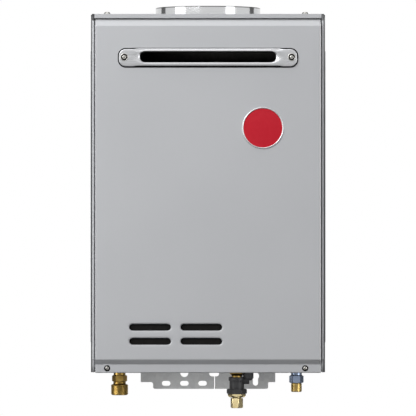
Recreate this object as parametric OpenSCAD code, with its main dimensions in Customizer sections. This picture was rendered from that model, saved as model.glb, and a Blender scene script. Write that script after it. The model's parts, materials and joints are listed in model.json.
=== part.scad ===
// Tankless water heater for an outside wall, built as separate pieces.
// X runs to the right, Y runs towards the wall, Z runs up.
// The wall face is Y = 0 and the slot row of the upper bracket is Z = 0.

/* [Casing] */
// Outer width over the side walls
case_w = 350; // [345:1:370]
// Height of the side walls
case_h = 537; // [530:1:560]
// Depth of the side walls from the back to the rolled front hems
case_d = 214; // [212:1:230]
// Sheet thickness of the casing and its panels
sheet = 1; // [0.8:0.1:1.2]
// Distance from the wall to the back of the casing
wall_gap = 12; // [10:1:20]
// Bend radius of the two back corners
corner_r = 4; // [2:0.5:8]
// Diameter of the rolled hem on the front edge of each side wall
hem_d = 4.3; // [3.5:0.1:5]
// Drop from the upper slot row to the top of the casing
hang_drop = 2; // [1:0.5:6]
// Height of the rain lip along the front of the top panel
lip_h = 6.3; // [5:0.1:7]
// Height of the bottom panel above the lower edge of the side walls
pan_rise = 25; // [22:1:28]
// Depth of the folded edges of the top and bottom panels
fold = 12; // [8:1:16]
// Gap left between panels that slip inside each other
fit = 0.2; // [0.1:0.05:0.4]

/* [Side panel fields] */
// How far the raised field stands out from each side wall
field_raise = 1.8; // [1:0.1:2.5]
// Distance from the top of the casing down to the raised field
field_top = 51.5; // [40:0.5:70]
// Distance from the bottom of the casing up to the raised field
field_foot = 41; // [30:1:60]
// Distance of the raised field from the front and back edges
field_margin = 26; // [15:1:40]
// Width of the sloping border of the raised field
field_slope = 4; // [3:0.5:8]

/* [Front cover] */
// Side gap between the cover and each hem
cover_gap = 2.7; // [2:0.1:3.5]
// Gap under the rain lip
cover_top_gap = 1.9; // [1.5:0.1:3]
// How far the cover face stands in front of the hems
cover_proud = 6; // [4:0.5:8]
// Depth of the bevels from the face back to the ledge
cover_step = 8; // [7:0.5:9]
// Depth of the folded sides of the cover
cover_return = 14; // [13:0.5:16]
// Height of the upper bevel
bevel_top = 9.9; // [7:0.1:12]
// Height of the lower bevel
bevel_foot = 6.9; // [5:0.1:9]
// Height of the flat flange along the bottom of the cover
foot_flange = 12.2; // [11:0.1:14]
// Distance of the left screw of the cover from the left side of the casing
screw_left = 23.8; // [20:0.1:35]
// Distance of the right screw of the cover from the right side of the casing
screw_right = 29.4; // [20:0.1:35]
// Height of the cover screws above the bottom of the casing
screw_up = 6.1; // [5.5:0.1:7]
// Thickness of the foam seal
seal_t = 5; // [4:0.5:7]
// Width of the foam seal
seal_w = 8; // [6:0.5:10]

/* [Exhaust outlet] */
// Width of the outlet opening
outlet_w = 203.6; // [180:0.1:206]
// Height of the outlet opening
outlet_h = 15.7; // [14:0.1:17]
// Corner radius of the outlet opening
outlet_r = 7.2; // [5:0.1:7.5]
// Drop from the casing top to the middle of the outlet
outlet_drop = 64.4; // [60:0.1:72]
// Width of the trim plate
trim_w = 270; // [266:1:280]
// Height of the trim plate
trim_h = 29.5; // [28:0.1:34]
// Thickness of the trim plate
trim_t = 4; // [3:0.1:5]
// Corner radius of the trim plate
trim_r = 12; // [5:0.5:13]
// How far the plate's middle lies under the outlet's middle
trim_sink = 1.6; // [0:0.1:1.8]
// Distance of the trim screws from the middle
trim_screw_x = 125.2; // [122:0.1:127]

/* [Air slots and badge] */
// Length of each air slot
slot_l = 62; // [50:1:66]
// Height of each air slot
slot_h = 10; // [8:0.1:11]
// Middle of the group of air slots
slot_mid_x = -48.3; // [-60:0.1:-40]
// Distance between the two columns of slots
slot_pitch_x = 76.7; // [72:0.1:84]
// Height of the lower slots above the bottom of the casing
slot_up = 46.6; // [40:0.1:56]
// Distance between the two rows of slots
slot_pitch_z = 21.1; // [16:0.1:28]
// Diameter of the plain round badge
badge_d = 63; // [50:1:66]
// Thickness of the badge
badge_t = 2; // [1:0.1:3]
// Place of the badge to the right of the middle
badge_x = 82; // [60:1:100]
// Drop from the casing top to the middle of the badge
badge_drop = 171; // [140:1:200]

/* [Flue collar] */
// Outside diameter of the collar
collar_d = 160; // [140:1:164]
// Height of the collar over the top panel
collar_h = 14; // [12:0.5:20]
// Wall thickness of the collar and of its closing cap
collar_wall = 1.2; // [1:0.1:1.6]
// Width of the flange around the foot of the collar
collar_flange = 8; // [7:0.5:9]
// Distance from the wall to the middle of the collar
collar_back = 108; // [106:1:116]
// Number of rivets in the flange
rivet_n = 6; // [4:1:10]

/* [Wall brackets] */
// Width of each bracket
bracket_w = 209.2; // [206:0.2:230]
// Sheet thickness of the brackets
bracket_t = 1.6; // [1.2:0.1:2]
// Length of the wall slots
wall_slot_l = 13.1; // [11:0.1:15]
// Width of the wall slots
wall_slot_w = 7.5; // [6.5:0.1:8]
// Distance between neighbouring wall slots
wall_slot_pitch = 28.25; // [26:0.25:30]
// Place of the middle wall slot of the lower bracket
wall_slot_x = -36.75; // [-38:0.25:-34]
// Distance of the lower slot row below the casing
lower_row = 26.2; // [26:0.1:40]
// Distance from the slot row to the fold beside the casing
bracket_fold = 32.2; // [30:0.1:36]
// Height of the flange screwed to the casing
bracket_seat = 38; // [36:1:50]
// Distance from the fold to the casing screws
bracket_screw_up = 28; // [27:1:30]
// Distance of the outer casing screws from the ends of the bracket
bracket_screw_in = 14.6; // [12:0.1:20]
// Distance of the inner casing screws from the middle
bracket_screw_x = 40; // [30:1:60]
// Shank length of the bracket screws
bracket_screw_l = 7; // [6:0.5:12]

/* [Screws] */
// Shank radius of the casing and bracket screws
screw_r = 2; // [1.6:0.05:2.2]
// Head radius of the casing and bracket screws
head_r = 4.9; // [4:0.1:5.2]
// Head height of the casing and bracket screws
head_h = 3.4; // [2.5:0.1:3.6]
// Radial clearance around screws and rivets
screw_gap = 0.08; // [0.04:0.01:0.1]

/* [Pipe connections] */
// Distance from the wall to the three pipe connections
pipe_back = 108; // [106:1:112]
// Distance of the hot outlet to the left of the middle
hot_x = 135; // [133:0.5:140]
// Distance of the gas inlet to the right of the middle
gas_x = 135; // [133:0.5:140]
// Distance of the cold inlet to the right of the middle
cold_x = 44; // [42:0.5:48]
// Outside radius of the water pipes
pipe_r = 7; // [6:0.1:7.4]
// Wall thickness of the pipes
pipe_wall = 1; // [0.8:0.1:1.2]
// Bend radius of the water pipes
pipe_bend = 13; // [10:0.5:16]
// Outside radius of the hot outlet thread
hot_thread_r = 13.1; // [12.5:0.1:13.4]
// Length of the hot outlet thread
hot_thread_l = 14.3; // [12:0.1:16]
// Width across the flats of the hot outlet hexagon
hot_af = 20; // [19:0.1:22]
// Radius of the hot outlet neck where it passes the bottom panel
hot_neck_r = 9; // [8.2:0.1:10]
// Radius of the flange that seats the hot outlet on the bottom panel
hot_flange_r = 14; // [12:0.5:16]
// Height of the hot outlet over the bottom panel
hot_rise = 18; // [14:1:24]
// Radius of the cold inlet stub where it passes the bottom panel
stub_r = 11.5; // [10:0.1:12]
// Radial gap around the fittings in the bottom panel
neck_gap = 0.3; // [0.2:0.05:0.5]
// Outside radius of the gas tail thread
gas_thread_r = 8.3; // [8:0.1:8.6]
// Length of the gas tail thread
gas_thread_l = 11.3; // [10:0.1:12]
// Width across the flats of the gas union nut
gas_af = 19; // [18:0.1:20]
// Outside radius of the gas tube
gas_tube_r = 6; // [5.5:0.1:6.2]
// Width across the flats of the lock ring on the cold inlet
ring_af = 26.7; // [26:0.1:28]
// Width across the flats of the compression nut
nut_af = 17; // [16.6:0.1:18]
// Radius of the socket that takes the cold supply tube
tube_socket_r = 6.4; // [6.1:0.05:6.4]
// Running clearance of parts that turn or slide
run = 0.08; // [0.04:0.01:0.1]

/* [Heat train] */
// Width of the burner column
column_w = 236; // [228:1:240]
// Depth of the burner column
column_d = 128; // [126:1:130]
// Distance from the wall to the middle of the column
column_back = 105; // [104:1:106]
// Height of the exhaust hood under the outlet
hood_drop = 64; // [60:1:68]
// Height of the hood over the middle of the outlet
hood_rise = 18; // [16:0.5:20]
// Height of the heat exchanger
exchanger_h = 60; // [56:1:64]
// Number of fins
fin_n = 26; // [12:1:34]
// Thickness of a fin
fin_t = 0.8; // [0.5:0.1:1]
// Distance between neighbouring water tubes
tube_pitch = 24; // [22:0.5:24]
// How far the water tubes reach out of the column before they bend
tube_reach = 4; // [3:0.5:8]
// Height of the combustion chamber
chamber_h = 110; // [106:1:112]
// Height of the burner box
burner_h = 50; // [48:1:52]
// Number of burner bars
bar_n = 9; // [5:1:10]
// Width of a burner bar
bar_w = 12; // [8:0.5:14]
// Height of a burner bar
bar_h = 34; // [28:1:38]
// Width of the hangers between the column and the back wall
hanger_w = 168; // [140:1:200]
// Height of a hanger
hanger_h = 18; // [14:1:24]
// Sheet thickness of a hanger
hanger_t = 1.5; // [1:0.1:2]

/* [Fan] */
// Distance of the fan axis to the left of the middle
fan_x = 48; // [46:1:50]
// Radius of the fan scroll
scroll_r = 60; // [56:1:61]
// Depth of the fan scroll
scroll_d = 58; // [54:1:60]
// Radius of the fan wheel
wheel_r = 46; // [38:1:50]
// Number of blades
blade_n = 28; // [12:1:36]
// Radius of the fan shaft
shaft_r = 4; // [3:0.1:5]
// Radius of the motor
motor_r = 32; // [28:1:36]
// Length of the motor
motor_l = 36; // [32:1:40]

/* [Gas valve and controls] */
// Width of the gas valve
valve_w = 64; // [60:1:66]
// Depth of the gas valve
valve_d = 60; // [56:1:64]
// Height of the gas valve
valve_h = 60; // [54:1:66]
// Height of the gas valve above the bottom panel
valve_up = 35; // [30:1:40]
// Radius of the solenoid coils
coil_r = 13; // [11:0.5:13.5]
// Length of the solenoid coils
coil_l = 32; // [28:1:34]
// Radius of the solenoid plungers
plunger_r = 4; // [3:0.1:5]
// Width of the control tray
tray_w = 122; // [112:1:124]
// Height of the control tray
tray_h = 118; // [110:1:120]
// Depth of the control tray
tray_d = 22; // [20:1:24]
// Outside radius of the flow sensor
sensor_r = 17; // [15:0.5:18]
// Height of the flow sensor
sensor_h = 50; // [46:1:52]
// Width of the spark box
spark_w = 26; // [20:1:30]
// Depth of the spark box
spark_d = 44; // [36:1:50]
// Height of the spark box
spark_h = 44; // [36:1:56]
// Height of the spark box above the foot of the combustion chamber
spark_up = 40; // [30:1:50]

/* [Hidden] */
$fn = 64;
half_w = case_w / 2;
back_y = -wall_gap;
front_y = back_y - case_d;
top_z = -hang_drop;
wall_top = top_z - sheet;
bottom_z = top_z - case_h;
inner_back = back_y - sheet;
panel_half = half_w - sheet - fit;
panel_rear = inner_back - fit;
panel_r = corner_r - sheet;
face_y = front_y - cover_proud;
ledge_y = face_y + cover_step;
return_y = face_y + cover_return;
seat_y = return_y + seal_t;
cover_half = half_w - hem_d - cover_gap;
cover_top = top_z - lip_h - cover_top_gap;
face_top = cover_top - bevel_top;
flange_top = bottom_z + foot_flange;
face_foot = flange_top + bevel_foot;
pan_z = bottom_z + pan_rise;
pan_top = pan_z + sheet;
tongue_half = cover_half - sheet - 0.5;
lip_half = half_w - hem_d - 0.5;
screw_z = bottom_z + screw_up;
top_screw_y = seat_y - 5;
outlet_z = top_z - outlet_drop;
trim_z = outlet_z - trim_sink;
cutout_w = outlet_w + 7;
cutout_h = outlet_h + 7;
duct_w = outlet_w + 4;
duct_h = outlet_h + 4;
badge_z = top_z - badge_drop;
collar_y = -collar_back;
lower_z = bottom_z - lower_row;
bracket_half = bracket_w / 2;
bracket_screw_far = bracket_half - bracket_screw_in;
bracket_screw_row = [-bracket_screw_far, -bracket_screw_x, bracket_screw_x, bracket_screw_far];
pipe_y = -pipe_back;
column_y = -column_back;
column_front = column_y - column_d / 2;
column_rear = column_y + column_d / 2;
column_half = column_w / 2;
hood_top = outlet_z + hood_rise;
hood_foot = outlet_z - hood_drop;
exchanger_foot = hood_foot - exchanger_h;
tube_z = (hood_foot + exchanger_foot) / 2;
chamber_foot = exchanger_foot - chamber_h;
burner_foot = chamber_foot - burner_h;
tube_end = column_half + tube_reach;
riser_x = tube_end + pipe_bend;
fan_z = burner_foot - scroll_r - 14;
scroll_front = column_y - 45;
scroll_rear = scroll_front + scroll_d;
motor_front = scroll_front - motor_l;
neck_l = -scroll_r;
neck_r = -8;
manifold_y = column_front - 3;
manifold_d = 15;
manifold_z = burner_foot + 6;
manifold_h = 18;
valve_z = pan_top + valve_up;
valve_left = gas_x + 25 - valve_w;
valve_front = pipe_y - 32;
feed_x = valve_left + 8;
feed_y = pipe_y - 17;
feed_turn_z = manifold_z - 40;
tray_y = seat_y + 7;
tray_x = 28;
stub_top = pan_top + 4;
sensor_top = stub_top + sensor_h;
cross_z = sensor_top + 22;
cable_x = 90;
cable_y = pipe_y + 62;
slot_foot = bottom_z + slot_up;
slot_pairs = [
    for (i = [-0.5, 0.5], j = [0, 1]) [slot_mid_x + i * slot_pitch_x, slot_foot + j * slot_pitch_z]
];
coil_x = [valve_left + 20, valve_left + valve_w - 15];
coil_z = valve_z + valve_h / 2;
silver = [0.74, 0.75, 0.76];
steel = [0.82, 0.83, 0.84];
zinc = [0.6, 0.62, 0.63];
brass = [0.72, 0.53, 0.24];
copper = [0.76, 0.43, 0.28];
black = [0.09, 0.09, 0.1];
alloy = [0.66, 0.67, 0.69];

function unit(v) = v / norm(v);
function left_of(a, b) = let (d = unit(b - a)) [-d[1], d[0]];
function shifted(p, i, t) =
    i == 0 ? p[0] + t * left_of(p[0], p[1]) :
    i == len(p) - 1 ? p[i] + t * left_of(p[i - 1], p[i]) :
    let (a = left_of(p[i - 1], p[i]), b = left_of(p[i], p[i + 1])) p[i] + t * (a + b) / (1 + a * b);
function folded(p, t) = concat(p, [for (i = [len(p) - 1:-1:0]) shifted(p, i, t)]);
function corner(hex_af) = hex_af / cos(30);

module span(low, high) {
    translate(low)
        cube(high - low);
}

module from_front(y, t) {
    translate([0, y, 0])
        rotate([90, 0, 0])
            linear_extrude(t)
                children();
}

module along_x(x0, x1) {
    translate([x0, 0, 0])
        rotate([90, 0, 90])
            linear_extrude(x1 - x0)
                children();
}

module rounded(w, h, r) {
    square([w - 2 * r, h], center = true);
    square([w, h - 2 * r], center = true);
    for (x = [-1, 1], z = [-1, 1])
        translate([x * (w / 2 - r), z * (h / 2 - r)])
            circle(r);
}

module obround(l, w) {
    square([l - w, w], center = true);
    for (x = [-1, 1])
        translate([x * (l - w) / 2, 0])
            circle(w / 2);
}

module both_sides() {
    children();
    mirror([1, 0, 0])
        children();
}

module turned(points) {
    rotate_extrude()
        polygon(points);
}

module hexagon(af, z0, z1, chamfer) {
    r = corner(af) / 2;
    intersection() {
        translate([0, 0, z0])
            cylinder(r = r, h = z1 - z0, $fn = 6);
        turned([
            [0, z0], [r - chamfer, z0], [r, z0 + chamfer / 2], [r, z1 - chamfer / 2],
            [r - chamfer, z1], [0, z1]
        ]);
    }
}

module pan_screw(shank, length, head, height) {
    ball = (head * head + height * height) / (2 * height);
    difference() {
        union() {
            intersection() {
                cylinder(r = head, h = height);
                translate([0, 0, height - ball])
                    sphere(ball);
            }
            translate([0, 0, -length])
                cylinder(r = shank, h = length + 0.5);
        }
        for (turn = [0, 90])
            rotate([0, 0, turn])
                translate([-head * 0.5, -0.55, height - 1.7])
                    cube([head, 1.1, 2]);
    }
}

// A round bar along a path of straight runs joined by quarter bends.
module run_bar(path, r, bend, extra) {
    last = len(path) - 1;
    for (i = [0:last - 1]) {
        d = unit(path[i + 1] - path[i]);
        a = path[i] + d * (i == 0 ? -extra : bend);
        b = path[i + 1] - d * (i == last - 1 ? -extra : bend);
        length = (b - a) * d;
        if (length > 0.01)
            translate(a)
                rotate([0, acos(d[2]), atan2(d[1], d[0])])
                    cylinder(r = r, h = length);
    }
    for (i = [1:1:last - 1]) {
        d = unit(path[i] - path[i - 1]);
        e = unit(path[i + 1] - path[i]);
        c = path[i] - d * bend + e * bend;
        n = cross(-e, d);
        multmatrix([for (k = [0:2]) [-e[k], d[k], n[k], c[k]]])
            rotate_extrude(angle = 90)
                translate([bend, 0])
                    circle(r);
    }
}

module run_pipe(path, r, bend) {
    difference() {
        run_bar(path, r, bend, 0);
        run_bar(path, r - pipe_wall, bend, 1);
    }
}

module u_plan(half, y_front, y_back, r) {
    translate([-half, y_front])
        square([2 * half, y_back - r - y_front]);
    translate([r - half, y_front])
        square([2 * (half - r), y_back - y_front]);
    for (x = [-1, 1])
        translate([x * (half - r), y_back - r])
            circle(r);
}

module edge_plan(y_front) {
    difference() {
        u_plan(panel_half, y_front, panel_rear, panel_r);
        u_plan(panel_half - sheet, y_front - 1, panel_rear - sheet, max(panel_r - sheet, 0.1));
    }
}

module side_field(inset) {
    a = half_w - sheet - inset;
    b = half_w + field_raise - inset;
    y0 = front_y + field_margin;
    y1 = back_y - field_margin;
    z0 = bottom_z + field_foot;
    z1 = top_z - field_top;
    intersection() {
        translate([0, 0, bottom_z])
            linear_extrude(case_h)
                polygon([[a, y0], [b, y0 + field_slope], [b, y1 - field_slope], [a, y1]]);
        from_front(back_y, case_d)
            polygon([[a, z0], [b, z0 + field_slope], [b, z1 - field_slope], [a, z1]]);
    }
}

module bracket_places() {
    for (turn = [0, 180], x = bracket_screw_row)
        translate([0, 0, turn == 0 ? lower_z : 0])
            rotate([0, turn, 0])
                translate([x, back_y + bracket_t, bracket_fold + bracket_screw_up])
                    rotate([-90, 0, 0])
                        children();
}

module cover_places() {
    for (x = [screw_left - half_w, half_w - screw_right])
        translate([x, ledge_y, screw_z])
            rotate([90, 0, 0])
                children();
}

module top_places() {
    for (x = [screw_left - half_w, half_w - screw_right])
        translate([x, top_screw_y, top_z])
            children();
}

module trim_places() {
    for (x = [-trim_screw_x, trim_screw_x])
        translate([x, face_y - trim_t, outlet_z - trim_sink / 2])
            rotate([90, 0, 0])
                children();
}

module rivet_places() {
    for (i = [0:rivet_n - 1])
        translate([0, collar_y, 0])
            rotate([0, 0, 30 + i * 360 / rivet_n])
                translate([collar_d / 2 + collar_flange / 2, 0, top_z])
                    children();
}

module screw_hole(depth) {
    translate([0, 0, -depth])
        cylinder(r = screw_r + screw_gap, h = 2 * depth);
}

module case_shell() {
    color(silver)
        difference() {
            union() {
                translate([0, 0, bottom_z])
                    linear_extrude(wall_top - bottom_z)
                        difference() {
                            u_plan(half_w, front_y + hem_d / 2, back_y, corner_r);
                            u_plan(half_w - sheet, front_y, inner_back, corner_r - sheet);
                        }
                both_sides()
                    translate([half_w - hem_d / 2, front_y + hem_d / 2, bottom_z])
                        cylinder(d = hem_d, h = wall_top - bottom_z);
                both_sides()
                    side_field(0);
            }
            both_sides()
                side_field(sheet);
            bracket_places()
                screw_hole(12);
        }
}

module top_panel() {
    color(silver)
        difference() {
            union() {
                translate([0, 0, wall_top])
                    linear_extrude(sheet)
                        u_plan(panel_half, front_y + sheet, panel_rear, panel_r);
                span([-lip_half, front_y, top_z - lip_h], [lip_half, front_y + sheet, top_z]);
                translate([0, 0, wall_top - fold])
                    linear_extrude(fold)
                        edge_plan(seat_y + 3);
            }
            translate([0, collar_y, wall_top - 1])
                cylinder(r = collar_d / 2 - 10, h = sheet + 2);
            top_places()
                screw_hole(3);
            rivet_places()
                screw_hole(3);
        }
}

module bottom_panel() {
    color(silver)
        difference() {
            union() {
                translate([0, 0, pan_z])
                    linear_extrude(sheet)
                        u_plan(panel_half, return_y + 1, panel_rear, panel_r);
                span([-tongue_half, ledge_y + sheet, pan_z], [tongue_half, return_y + 1, pan_top]);
                span(
                    [-tongue_half, ledge_y + sheet, bottom_z + 0.5],
                    [tongue_half, ledge_y + 2 * sheet, pan_z]
                );
                translate([0, 0, pan_z - fold])
                    linear_extrude(fold)
                        edge_plan(return_y + 1);
            }
            cover_places()
                screw_hole(10);
            translate([-hot_x, pipe_y, pan_z - 1])
                cylinder(r = hot_neck_r + neck_gap, h = sheet + 2);
            translate([cold_x, pipe_y, pan_z - 1])
                cylinder(r = stub_r + neck_gap, h = sheet + 2);
            translate([gas_x, pipe_y, pan_z - 1])
                cylinder(r = gas_tube_r + 4, h = sheet + 2);
            translate([cable_x, cable_y, pan_z - 1])
                cylinder(r = 10, h = sheet + 2);
        }
}

module cable_grommet() {
    color(black)
        translate([cable_x, cable_y, 0])
            turned([
                [6, pan_z - 3], [12.5, pan_z - 3], [12.5, pan_z], [9.95, pan_z],
                [9.95, pan_top], [12.5, pan_top], [12.5, pan_top + 3], [6, pan_top + 3]
            ]);
}

module gas_bush() {
    color(black)
        translate([gas_x, pipe_y, 0])
            turned([
                [gas_tube_r + run, pan_z - 3], [gas_tube_r + 6, pan_z - 3], [gas_tube_r + 6, pan_z],
                [gas_tube_r + 3.95, pan_z], [gas_tube_r + 3.95, pan_top], [gas_tube_r + 6, pan_top],
                [gas_tube_r + 6, pan_top + 3], [gas_tube_r + run, pan_top + 3]
            ]);
}

function cover_line() = [
    [return_y, cover_top], [ledge_y, cover_top], [face_y, face_top],
    [face_y, face_foot], [ledge_y, flange_top], [ledge_y, bottom_z]
];

module front_cover() {
    color(silver)
        difference() {
            union() {
                along_x(-cover_half, cover_half)
                    polygon(folded(cover_line(), sheet));
                both_sides()
                    along_x(cover_half - sheet, cover_half)
                        polygon(concat(cover_line(), [[return_y, bottom_z]]));
            }
            from_front(return_y, cover_return + 5)
                translate([0, outlet_z])
                    rounded(cutout_w, cutout_h, outlet_r + 2);
            from_front(return_y, cover_return + 5)
                for (p = slot_pairs)
                    translate(p)
                        obround(slot_l, slot_h);
            cover_places()
                screw_hole(4);
            trim_places()
                screw_hole(trim_t + 5);
        }
}

module front_frame() {
    window = cover_half + 1 - seal_w - 2;
    color(silver)
        difference() {
            union() {
                span([-panel_half, seat_y, pan_top], [panel_half, seat_y + sheet, wall_top]);
                span([-lip_half + 1, seat_y - 10, wall_top - sheet], [lip_half - 1, seat_y, wall_top]);
            }
            span(
                [-window, seat_y - 1, pan_top + 10],
                [window, seat_y + sheet + 1, cover_top + 1 - seal_w - 2]
            );
            top_places()
                screw_hole(8);
        }
}

module cover_seal() {
    color([0.2, 0.2, 0.21])
        difference() {
            span([-cover_half - 1, return_y, pan_top], [cover_half + 1, seat_y, cover_top + 1]);
            span(
                [seal_w - cover_half - 1, return_y - 1, pan_top - 1],
                [cover_half + 1 - seal_w, seat_y + 1, cover_top + 1 - seal_w]
            );
        }
}

module cover_screws() {
    color(steel)
        cover_places()
            pan_screw(screw_r, 9, head_r, head_h);
}

module top_screws() {
    color(steel)
        top_places()
            pan_screw(screw_r, 6, head_r, head_h);
}

module exhaust_trim() {
    edge = 1.2;
    color(steel)
        difference() {
            union() {
                from_front(face_y, trim_t - edge)
                    translate([0, trim_z])
                        rounded(trim_w, trim_h, trim_r);
                from_front(face_y - trim_t + edge, edge)
                    translate([0, trim_z])
                        rounded(trim_w - 2 * edge, trim_h - 2 * edge, trim_r - edge);
            }
            from_front(face_y + 1, trim_t + 2)
                translate([0, outlet_z])
                    rounded(outlet_w, outlet_h, outlet_r);
            trim_places()
                screw_hole(trim_t + 1);
        }
}

module trim_screws() {
    color(steel)
        trim_places()
            pan_screw(screw_r, trim_t + 4, head_r, 2.6);
}

module badge() {
    color([0.62, 0.09, 0.1])
        translate([badge_x, face_y, badge_z])
            rotate([90, 0, 0])
                union() {
                    cylinder(d = badge_d, h = badge_t - 0.6);
                    cylinder(d = badge_d - 3, h = badge_t);
                }
}

module flue_collar() {
    color(steel)
        difference() {
            translate([0, collar_y, 0])
                turned([
                    [collar_d / 2 - collar_wall, top_z], [collar_d / 2 + collar_flange, top_z],
                    [collar_d / 2 + collar_flange, top_z + sheet], [collar_d / 2, top_z + sheet],
                    [collar_d / 2, top_z + collar_h], [collar_d / 2 - collar_wall, top_z + collar_h]
                ]);
            rivet_places()
                screw_hole(3);
        }
}

module flue_cap() {
    r = collar_d / 2 - collar_wall - 0.3;
    z = top_z + collar_h - 4;
    color(steel)
        translate([0, collar_y, 0])
            turned([
                [r - collar_wall, top_z], [r, top_z], [r, z], [r - 14, z], [r - 18, z - 3], [0, z - 3],
                [0, z - 3 - collar_wall], [r - 18.5, z - 3 - collar_wall], [r - 14.5, z - collar_wall],
                [r - collar_wall, z - collar_wall]
            ]);
}

module collar_rivets() {
    color(steel)
        rivet_places()
            translate([0, 0, sheet])
                pan_rivet();
}

module pan_rivet() {
    intersection() {
        cylinder(r = 3.2, h = 1.4);
        translate([0, 0, 1.4 - 4.4])
            sphere(4.4);
    }
    translate([0, 0, -3.5])
        cylinder(r = screw_r, h = 3.6);
}

module inner_corner(r) {
    translate([-r, -r])
        difference() {
            square(r + 1);
            circle(r);
        }
}

module wall_flange() {
    step = 1.8;
    left = 19.2 - bracket_half;
    right = bracket_half - 11.1;
    foot = -8.6;
    foot_h = 18.6;
    difference() {
        union() {
            translate([-bracket_half, step])
                square([bracket_w, bracket_fold - step]);
            translate([(left + right) / 2, foot + foot_h / 2])
                rounded(right - left, foot_h, 3);
            translate([left, step])
                inner_corner(3.6);
            translate([right, step])
                mirror([1, 0])
                    inner_corner(1.6);
        }
        for (i = [-1, 0, 1])
            translate([wall_slot_x + i * wall_slot_pitch, 0])
                obround(wall_slot_l, wall_slot_w);
        translate([wall_slot_x, 16.2])
            circle(6.3);
        translate([9.6, 14.8])
            obround(15, 8);
        translate([9.5, -10])
            square([1.3, 24]);
        translate([73.7, 11.5])
            circle(5.6);
        translate([69.6, 0.5])
            square([8.2, 11]);
        translate([73.7, 0.5])
            circle(4.1);
    }
}

module bracket_blank() {
    difference() {
        union() {
            from_front(0, bracket_t)
                wall_flange();
            along_x(-bracket_half, bracket_half)
                polygon([
                    [0, bracket_fold - bracket_t], [0, bracket_fold], [back_y + bracket_t, bracket_fold],
                    [back_y + bracket_t, bracket_fold + bracket_seat],
                    [back_y, bracket_fold + bracket_seat],
                    [back_y, bracket_fold - bracket_t]
                ]);
        }
        for (x = bracket_screw_row)
            translate([x, back_y, bracket_fold + bracket_screw_up])
                rotate([90, 0, 0])
                    screw_hole(5);
    }
}

module upper_bracket() {
    color(zinc)
        rotate([0, 180, 0])
            bracket_blank();
}

module lower_bracket() {
    color(zinc)
        translate([0, 0, lower_z])
            bracket_blank();
}

module bracket_screws() {
    color(steel)
        bracket_places()
            pan_screw(screw_r, bracket_screw_l, head_r, head_h);
}

module column_box(z0, z1) {
    difference() {
        span([-column_half, column_front, z0], [column_half, column_rear, z1]);
        span(
            [sheet - column_half, column_front + sheet, z0 - 1],
            [column_half - sheet, column_rear - sheet, z1 + 1]
        );
    }
}

module exhaust_hood() {
    nose = face_y + 1.5;
    color(steel)
        difference() {
            union() {
                span([-column_half, column_front, hood_foot], [column_half, column_rear, hood_top]);
                from_front(column_front + 0.5, column_front + 0.5 - nose)
                    translate([0, outlet_z])
                        rounded(duct_w, duct_h, outlet_r + 1);
            }
            span(
                [sheet - column_half, column_front + sheet, hood_foot - 1],
                [column_half - sheet, column_rear - sheet, hood_top - sheet]
            );
            from_front(column_front + 2, column_front + 3 - nose)
                translate([0, outlet_z])
                    rounded(duct_w - 2 * sheet, duct_h - 2 * sheet, outlet_r + 1 - sheet);
        }
}

function tube_rows() = [for (i = [-2:2]) column_y - i * tube_pitch];

module tube_holes(x0, x1, gap) {
    for (y = tube_rows())
        translate([x0, y, tube_z])
            rotate([0, 90, 0])
                cylinder(r = pipe_r + gap, h = x1 - x0);
}

module exchanger_shell() {
    color(copper)
        difference() {
            column_box(exchanger_foot, hood_foot);
            tube_holes(-column_half - 1, column_half + 1, run);
        }
}

module exchanger_fins() {
    reach = column_half - 10;
    step = 2 * reach / (fin_n - 1);
    color(copper)
        difference() {
            for (i = [0:fin_n - 1])
                translate([i * step - reach - fin_t / 2, column_front + 3, exchanger_foot + 5])
                    cube([fin_t, column_d - 6, exchanger_h - 10]);
            tube_holes(-column_half, column_half, run);
        }
}

module exchanger_tubes() {
    rows = tube_rows();
    end = tube_end;
    bend = tube_pitch / 2;
    path = [
        [end, rows[0], tube_z], [-end - bend, rows[0], tube_z], [-end - bend, rows[1], tube_z],
        [end + bend, rows[1], tube_z], [end + bend, rows[2], tube_z], [-end - bend, rows[2], tube_z],
        [-end - bend, rows[3], tube_z], [end + bend, rows[3], tube_z], [end + bend, rows[4], tube_z],
        [-end, rows[4], tube_z]
    ];
    color(copper)
        run_pipe(path, pipe_r, bend);
}

function rod_places() = [[-34, 0], [-16, 0], [26, 0]];

module combustion_chamber() {
    color(copper)
        difference() {
            column_box(chamber_foot, exchanger_foot);
            for (p = rod_places())
                translate([p[0], column_front - 1, chamber_foot + 22])
                    rotate([-90, 0, 0])
                        cylinder(r = 4.1, h = sheet + 2);
            translate([70, column_front - 1, chamber_foot + 40])
                rotate([-90, 0, 0])
                    cylinder(r = 7, h = sheet + 2);
        }
}

module sight_window() {
    color([0.75, 0.85, 0.88])
        translate([70, column_front, chamber_foot + 40])
            rotate([90, 0, 0])
                cylinder(r = 10, h = 2.5);
}

module electrode_insulators() {
    color([0.93, 0.92, 0.88])
        for (p = rod_places())
            translate([p[0], column_front, chamber_foot + 22])
                rotate([90, 0, 0])
                    turned([
                        [1.3 + run, -8], [4, -8], [4, 0], [7.5, 0], [7.5, 2.5], [4, 2.5], [4, 14],
                        [1.3 + run, 14]
                    ]);
}

module electrode_rods() {
    color(steel)
        for (p = rod_places())
            translate([p[0], column_front, chamber_foot + 22])
                rotate([90, 0, 0])
                    translate([0, 0, -38])
                        cylinder(r = 1.3, h = 57);
}

module burner_box() {
    color(steel)
        difference() {
            span([-column_half, column_front, burner_foot], [column_half, column_rear, chamber_foot]);
            span(
                [sheet - column_half, column_front + sheet, burner_foot + sheet],
                [column_half - sheet, column_rear - sheet, chamber_foot + 1]
            );
            span(
                [neck_l + 2 - fan_x, scroll_front + 2, burner_foot - 1],
                [neck_r - 2 - fan_x, scroll_rear - 2, burner_foot + sheet + 1]
            );
            for (x = bar_places())
                translate([x, column_front - 1, manifold_z + manifold_h / 2])
                    rotate([-90, 0, 0])
                        cylinder(r = 3.8, h = sheet + 2);
        }
}

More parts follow.
